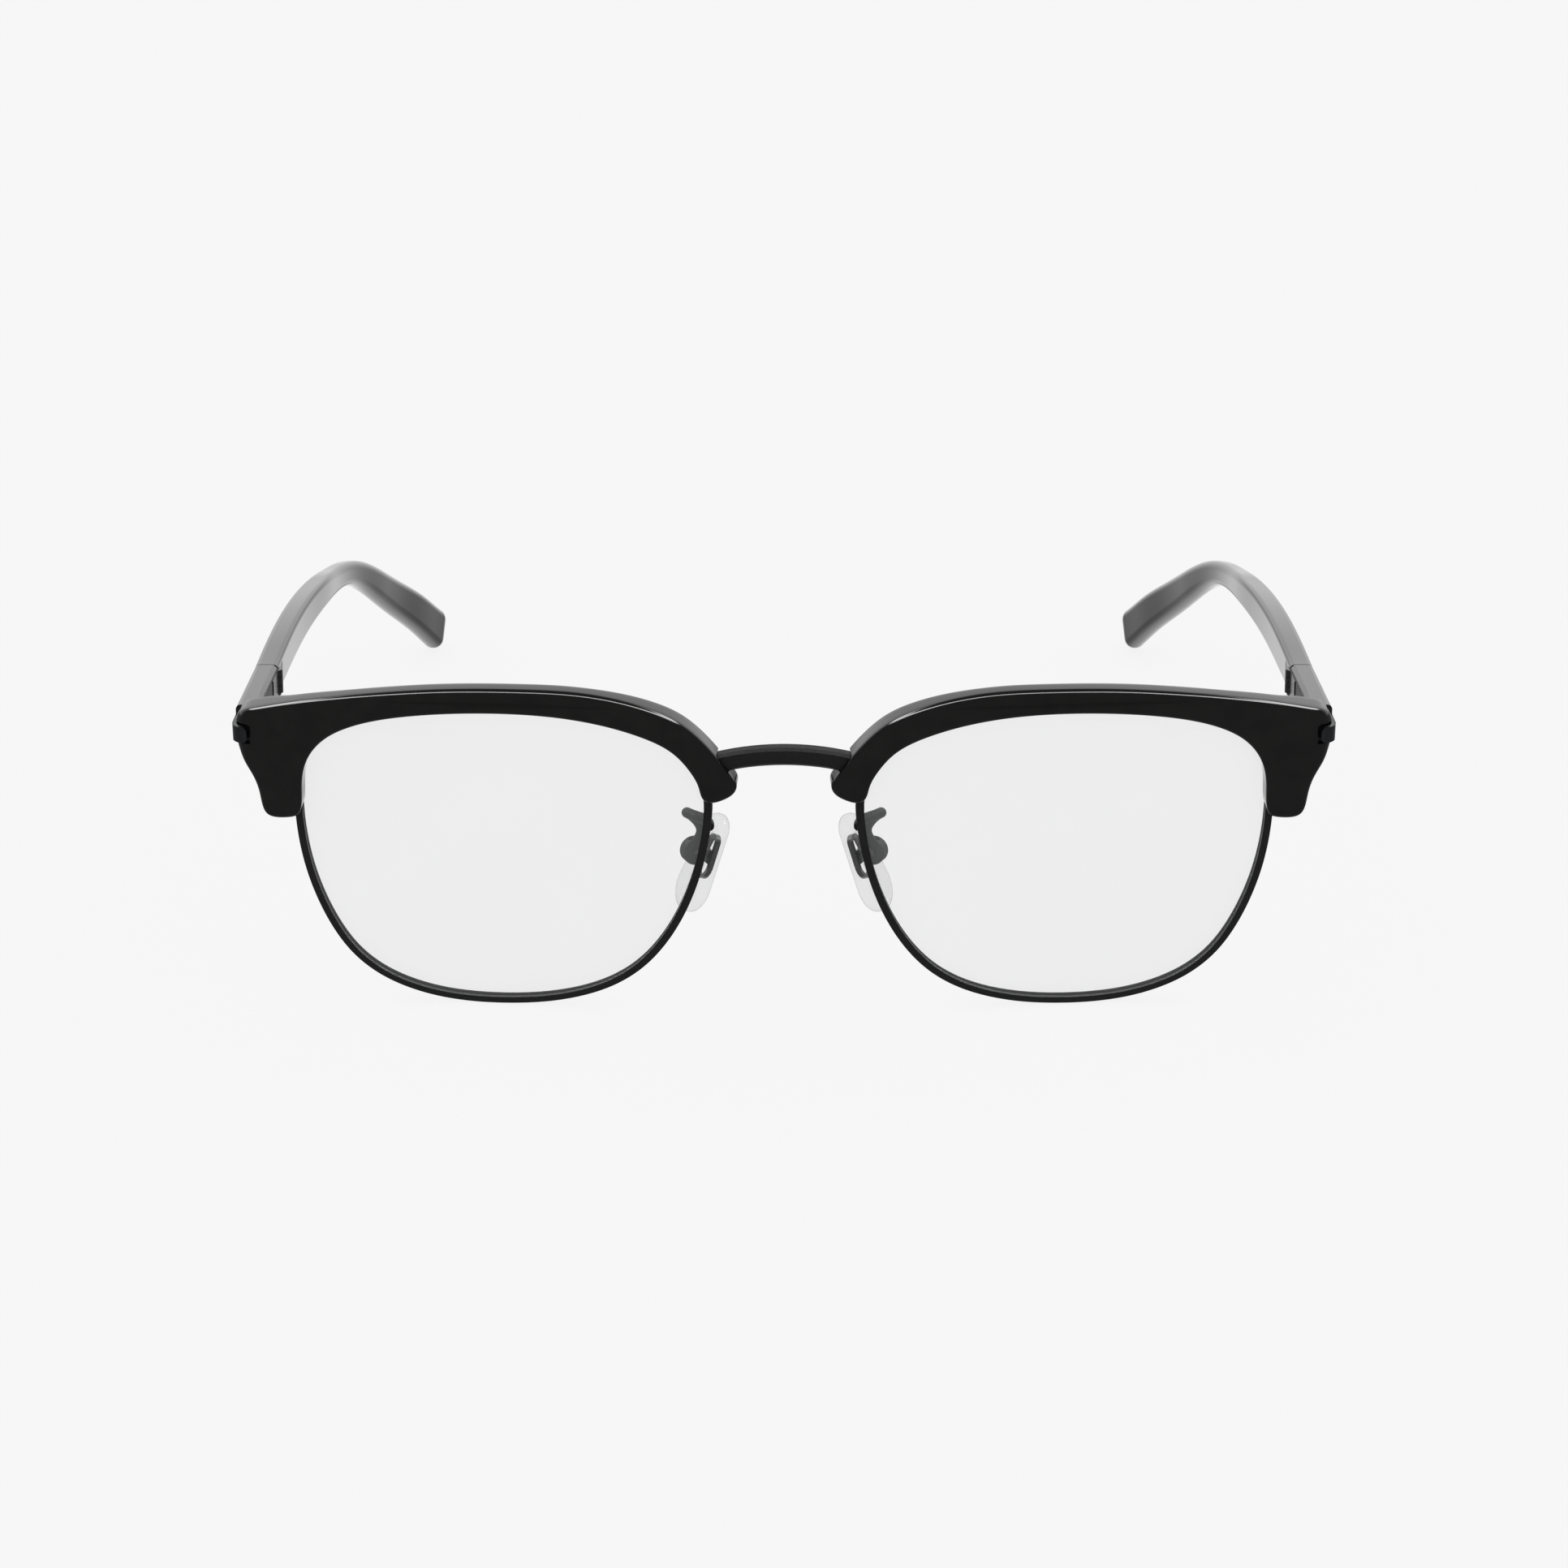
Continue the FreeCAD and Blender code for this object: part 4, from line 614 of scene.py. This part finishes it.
def open_spline(rows, count):
    """Rows along a smooth curve through the given ones (places first, height last), and how far
    each is from the tip."""
    knots = np.array(rows, float)
    number = len(knots)
    steps = np.linalg.norm(np.diff(knots[:, :3], axis=0), axis=1)
    matrix = np.zeros((number, number))
    right = np.zeros_like(knots)
    matrix[0, 0] = matrix[-1, -1] = 1.0
    right[0, :3] = HINGE_DIRECTION
    right[-1, :3] = np.array(TIP_DIRECTION) / np.linalg.norm(TIP_DIRECTION)
    right[-1, 3] = TIP_SWELL
    for k in range(1, number - 1):
        matrix[k, k - 1], matrix[k, k + 1] = steps[k], steps[k - 1]
        matrix[k, k] = 2 * (steps[k] + steps[k - 1])
        ahead = (knots[k + 1] - knots[k]) / steps[k]
        behind = (knots[k] - knots[k - 1]) / steps[k - 1]
        right[k] = 3 * (steps[k] * behind + steps[k - 1] * ahead)
    slopes = np.linalg.solve(matrix, right)
    fine = [knots[0]]
    for k in range(number - 1):
        a, b = knots[k], knots[k + 1]
        da, db = slopes[k] * steps[k], slopes[k + 1] * steps[k]
        fine += [hermite(a, b, da, db, t) for t in np.linspace(0, 1, 61)[1:]]
    fine = np.array(fine)
    length = running_length(fine[:, :3])
    whole = length[-1]
    # Stations crowd towards the tip, where the end is rounded.
    marks = whole * np.linspace(0, 1, count)
    crowd = TIP_LENGTH * (1 - np.sin(np.linspace(0, math.pi / 2, TIP_STATIONS)))
    marks = np.concatenate([marks[marks < whole - TIP_LENGTH], whole - crowd])
    return np.stack([np.interp(marks, length, fine[:, i]) for i in range(4)], axis=1), whole - marks


def section_ring(width, height, corner):
    """Rounded rectangle about the origin: (across, up) points."""
    ring = []
    for sx, sz, start in ((1, 1, 0), (-1, 1, 90), (-1, -1, 180), (1, -1, 270)):
        for k in range(CORNER_POINTS + 1):
            angle = math.radians(start + 90.0 * k / CORNER_POINTS)
            ring.append((sx * (width / 2 - corner) + corner * math.cos(angle),
                         sz * (height / 2 - corner) + corner * math.sin(angle)))
    return ring


def temple_rings():
    """Points of the bar's sections from the hinge to the tip, for the side with outward +X."""
    rows, to_end = open_spline(TEMPLE_LINE, TEMPLE_STATIONS)
    points = []
    for k, ((out, back, up, height), left) in enumerate(zip(rows, to_end)):
        nearby = rows[min(k + 1, len(rows) - 1)][:3] - rows[max(k - 1, 0)][:3]
        along = Vector(nearby).normalized() if k else Vector(HINGE_DIRECTION)
        across = Vector((along.y, -along.x, 0.0)).normalized()
        rise = across.cross(along)
        softness = float(smooth_step(back, *EAR_BACK))
        out -= TIP_INWARD * float(smooth_step(back, *TIP_BACK))
        in_tip = max(TIP_RADIUS - left, 0.0)
        tuck = TIP_RADIUS - math.sqrt(max(TIP_RADIUS ** 2 - in_tip ** 2, 0.0))
        wide = BAR_THICKNESS - 2 * (TIP_SIDE_SHARE * tuck)
        tall = height + EAR_EXTRA_HEIGHT * softness - 2 * tuck
        corner = EDGE_RADIUS + EAR_EXTRA_RADIUS * softness
        corner = min(corner, CORNER_SHARE * wide, CORNER_SHARE * tall)
        centre = Vector((out, back, up + EAR_EXTRA_HEIGHT * softness))
        points += [centre + across * a + rise * b for a, b in section_ring(wide, tall, corner)]
    return points, len(rows)


def hinge_room(side, word, place):
    """Cutters for the rear leaf, the hinge's barrel and the driver's hole below it."""
    (inner, outer), (near, far) = LEAF_ACROSS, LEAF_BACK
    leaf = [(side * inner, near), (side * outer, near), (side * outer, far), (side * inner, far)]
    barrel, driver = circle(BARREL_ROOM, ROOM_POINTS), circle(DRIVER_ROOM, ROOM_POINTS)
    spans = (("rear_leaf_cut_", leaf, (-LEAF_HALF_HEIGHT, LEAF_HALF_HEIGHT)),
             ("barrel_cut_", barrel, (-BARREL_HALF_HEIGHT, BARREL_HALF_HEIGHT)),
             ("driver_cut_", driver, DRIVER_SPAN))
    return [prism(name + word, outline, low, high, place, "Z") for name, outline, (low, high) in spans]


def temple_object(side, word):
    """The acetate temple: crisp edges at the hinge, soft ones at the ear, and a rounded tip."""
    points, rings = temple_rings()
    count = 4 * (CORNER_POINTS + 1)
    caps = [tuple(range(count)), tuple(range((rings - 1) * count, rings * count))]
    place = temple_matrix(side)
    bar = mesh_object("temple_soft_" + word, [(side * p.x, p.y, p.z) for p in points],
                      ring_quads(rings, count) + caps, place)
    cut_away(bar, hinge_room(side, word, place))
    finish_acetate(bar, SHARP_TEMPLE)
    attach(bar, "temple_%s_arm" % word)
    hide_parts("temple_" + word)


# ---------------------------------------------------------------- pad inserts
PAD_PLACE = (11.65, 8.0 + DEPTH_SHIFT, 19.6)
PAD_SPLAY = 24.0
PAD_TILT = 24.0

# The insert's open frame: radius and height of its outline's two arcs, and the bar's width.
INSERT_LOW = (1.8, -1.35)
INSERT_TOP = (1.3, 1.7)
INSERT_BAR = 0.5
INSERT_FORWARD = 0.7        # the frame sits this far ahead of the screw
INSERT_NEAR, INSERT_FAR = 1.5, 2.2      # its two faces, from the screw's axis to the nose
BOSS_RADIUS, BOSS_HOLE, BOSS_HALF = 0.75, 0.37, 0.35
NECK_START, NECK_HALF = 0.42, 0.6       # past the hole, and half its height
CROSS_HALF, CROSS_HALF_HEIGHT, CROSS_SHALLOWER = 1.5, 0.9, 0.3
JOIN = 0.05                 # the neck runs this far into the frame
SHARP_INSERT = 0.5


def pad_matrix(side):
    """The same frame as the CAD's pad_frame: Y to the nose, Z up the pad."""
    splay, tilt = math.radians(PAD_SPLAY), math.radians(PAD_TILT)
    along = Vector((math.sin(splay), side * math.cos(splay), 0.0))
    to_nose = Vector((-side * math.cos(splay), math.sin(splay), 0.0))
    up = Vector((0.0, 0.0, math.cos(tilt))) + to_nose * math.sin(tilt)
    normal = up.cross(along)
    turn = Matrix((along, normal, up)).transposed().to_4x4()
    return Matrix.Translation((side * PAD_PLACE[0], PAD_PLACE[1], PAD_PLACE[2])) @ turn


def drop_outline(low_radius, low_centre, top_radius, top_centre, shift):
    """Outline of a drop: two arcs and their tangents, as (x, z) points."""
    lean = math.asin((low_radius - top_radius) / (top_centre - low_centre))
    outline = []
    for radius, centre, start, end in ((top_radius, top_centre, lean, math.pi - lean),
                                       (low_radius, low_centre, math.pi - lean, 2 * math.pi + lean)):
        for angle in np.linspace(start, end, 20):
            outline.append((shift + radius * math.cos(angle), centre + radius * math.sin(angle)))
    return outline


def open_ring(outer, inner, low, high, place_point):
    """Points and faces of a flat ring between two depths, open in the middle."""
    count = len(outer)
    points = [place_point(u, v, depth)
              for depth in (low, high) for loop in (outer, inner) for u, v in loop]
    loops = (0, count, 3 * count, 2 * count)
    faces = []
    for k in range(count):
        n = (k + 1) % count
        faces += [(a + k, a + n, b + n, b + k) for a, b in zip(loops, loops[1:] + loops[:1])]
    return points, faces


def insert_object(side, word):
    """The plate in the clear pad: an open drop-shaped frame, its neck and its pierced boss."""
    forward = -INSERT_FORWARD * side
    outer, inner = (drop_outline(INSERT_LOW[0] - less, INSERT_LOW[1], INSERT_TOP[0] - less,
                                 INSERT_TOP[1], forward) for less in (0.0, INSERT_BAR))
    boss, hole = circle(BOSS_RADIUS, 32), circle(BOSS_HOLE, 32)

    def upright(middle, half_width, half_height):
        corners = ((-1, -1), (1, -1), (1, 1), (-1, 1))
        return [(middle + sx * half_width, sz * half_height) for sx, sz in corners]

    points, faces = [], []
    for part_points, part_faces in (
            open_ring(outer, inner, INSERT_NEAR, INSERT_FAR, lambda x, z, y: (x, y, z)),
            open_ring(boss, hole, -BOSS_HALF, BOSS_HALF, lambda y, z, x: (x, y, z)),
            prism_mesh(upright(0.0, BOSS_HALF, NECK_HALF), NECK_START, INSERT_NEAR + JOIN),
            prism_mesh(upright(forward, CROSS_HALF, CROSS_HALF_HEIGHT), INSERT_NEAR,
                       INSERT_FAR - CROSS_SHALLOWER)):
        start = len(points)
        points += part_points
        faces += [tuple(start + k for k in face) for face in part_faces]
    plate = mesh_object("insert_frame_" + word, points, faces, pad_matrix(side), SHARP_INSERT)
    plate.data.materials.append(MATERIALS["insert_gunmetal"])
    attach(plate, "pad_" + word)
    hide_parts("pad_insert_" + word)


for word, side in SIDES.items():
    brow_object(side, word)
    temple_object(side, word)
    insert_object(side, word)


# ---------------------------------------------------------------- floor, light, camera
FLOOR_HALF = 4.0            # metres
FLOOR_GLOW = 0.855
# Strengths of the studio's parts in reflections.
WALL_GLOW = 1.3
TABLE_GLOW = 0.85
FRONT_STRIP_GLOW = 17.0
AMBIENT = 0.24
# Even strengths: for diffuse light, and behind the object for the camera.
DIFFUSE_LEVEL = 0.62
BACKDROP_LEVEL = 0.92


def make_floor():
    half = FLOOR_HALF
    mesh = bpy.data.meshes.new("floor")
    corners = [(-half, -half, 0), (half, -half, 0), (half, half, 0), (-half, half, 0)]
    mesh.from_pydata(corners, [], [(0, 1, 2, 3)])
    floor = bpy.data.objects.new("floor", mesh)
    bpy.context.scene.collection.objects.link(floor)
    mat, _, shader = new_material("floor_pale")
    shader.inputs["Base Color"].default_value = (0.12, 0.12, 0.12, 1.0)
    shader.inputs["Roughness"].default_value = 1.0
    shader.inputs["Specular IOR Level"].default_value = 0.0
    shader.inputs["Emission Color"].default_value = (1.0, 1.0, 1.0, 1.0)
    shader.inputs["Emission Strength"].default_value = FLOOR_GLOW
    mesh.materials.append(mat)
    floor.visible_glossy = False


def mix_by(tree, factor, when_not, when):
    """A number that is when_not at factor 0 and when at factor 1."""
    node = add(tree, "ShaderNodeMix", data_type="FLOAT")
    tree.links.new(factor, node.inputs["Factor"])
    for name, value in (("A", when_not), ("B", when)):
        if isinstance(value, float):
            node.inputs[name].default_value = value
        else:
            tree.links.new(value, node.inputs[name])
    return node.outputs["Result"]


def make_world():
    """A studio seen in reflections only, bright behind and above the object, with a strip in
    front; other rays see even levels. The bands are in the direction's own components."""
    world = bpy.data.worlds.new("studio")
    bpy.context.scene.world = world
    world.use_nodes = True
    tree = world.node_tree
    background = tree.nodes["Background"]
    split = add(tree, "ShaderNodeSeparateXYZ")
    tree.links.new(add(tree, "ShaderNodeTexCoord").outputs["Generated"], split.inputs["Vector"])
    x, y, z = (split.outputs[axis] for axis in "XYZ")

    def product(a, b):
        return math_node(tree, "MULTIPLY", a, b)

    def smooth_band(value, start, end):
        node = add(tree, "ShaderNodeMapRange", interpolation_type="SMOOTHSTEP")
        node.inputs["From Min"].default_value = start
        node.inputs["From Max"].default_value = end
        tree.links.new(value, node.inputs["Value"])
        return node.outputs["Result"]

    behind_object = smooth_band(y, -0.1, 0.5)
    above = smooth_band(z, -0.05, 0.12)
    not_overhead = smooth_band(z, 0.93, 0.6)
    wall = product(behind_object, not_overhead)
    sideways = math_node(tree, "ABSOLUTE", x, 0.0)
    below = math_node(tree, "SUBTRACT", 1.0, above)
    table = product(smooth_band(sideways, 0.62, 0.16), below)
    strip = product(smooth_band(z, 0.66, 0.72), smooth_band(z, 0.86, 0.80))
    in_front = product(strip, smooth_band(y, 0.45, 0.3))

    glow = math_node(tree, "ADD", product(product(wall, above), WALL_GLOW),
                     product(product(wall, table), TABLE_GLOW))
    glow = math_node(tree, "ADD", glow, product(in_front, FRONT_STRIP_GLOW))
    glow = math_node(tree, "ADD", glow, AMBIENT)
    path = add(tree, "ShaderNodeLightPath")
    lit = mix_by(tree, path.outputs["Is Glossy Ray"], DIFFUSE_LEVEL, glow)
    seen = mix_by(tree, path.outputs["Is Camera Ray"], lit, BACKDROP_LEVEL)
    tree.links.new(seen, background.inputs["Strength"])
    background.inputs["Color"].default_value = (1.0, 1.0, 1.0, 1.0)


def make_camera():
    distance, elevation, look_height = 580.0, 20.5, 31.78
    rise = math.radians(elevation)
    data = bpy.data.cameras.new("camera")
    data.sensor_width = 36.0
    data.lens = 104.4
    data.clip_start = 0.01
    camera = bpy.data.objects.new("camera", data)
    camera.location = (0.0, (DEPTH_SHIFT - distance * math.cos(rise)) * MM,
                       (look_height + distance * math.sin(rise)) * MM)
    camera.rotation_euler = (math.radians(90.0 - elevation), 0.0, 0.0)
    bpy.context.scene.collection.objects.link(camera)
    bpy.context.scene.camera = camera


make_floor()
make_world()
make_camera()
bpy.context.scene.view_settings.view_transform = "Standard"
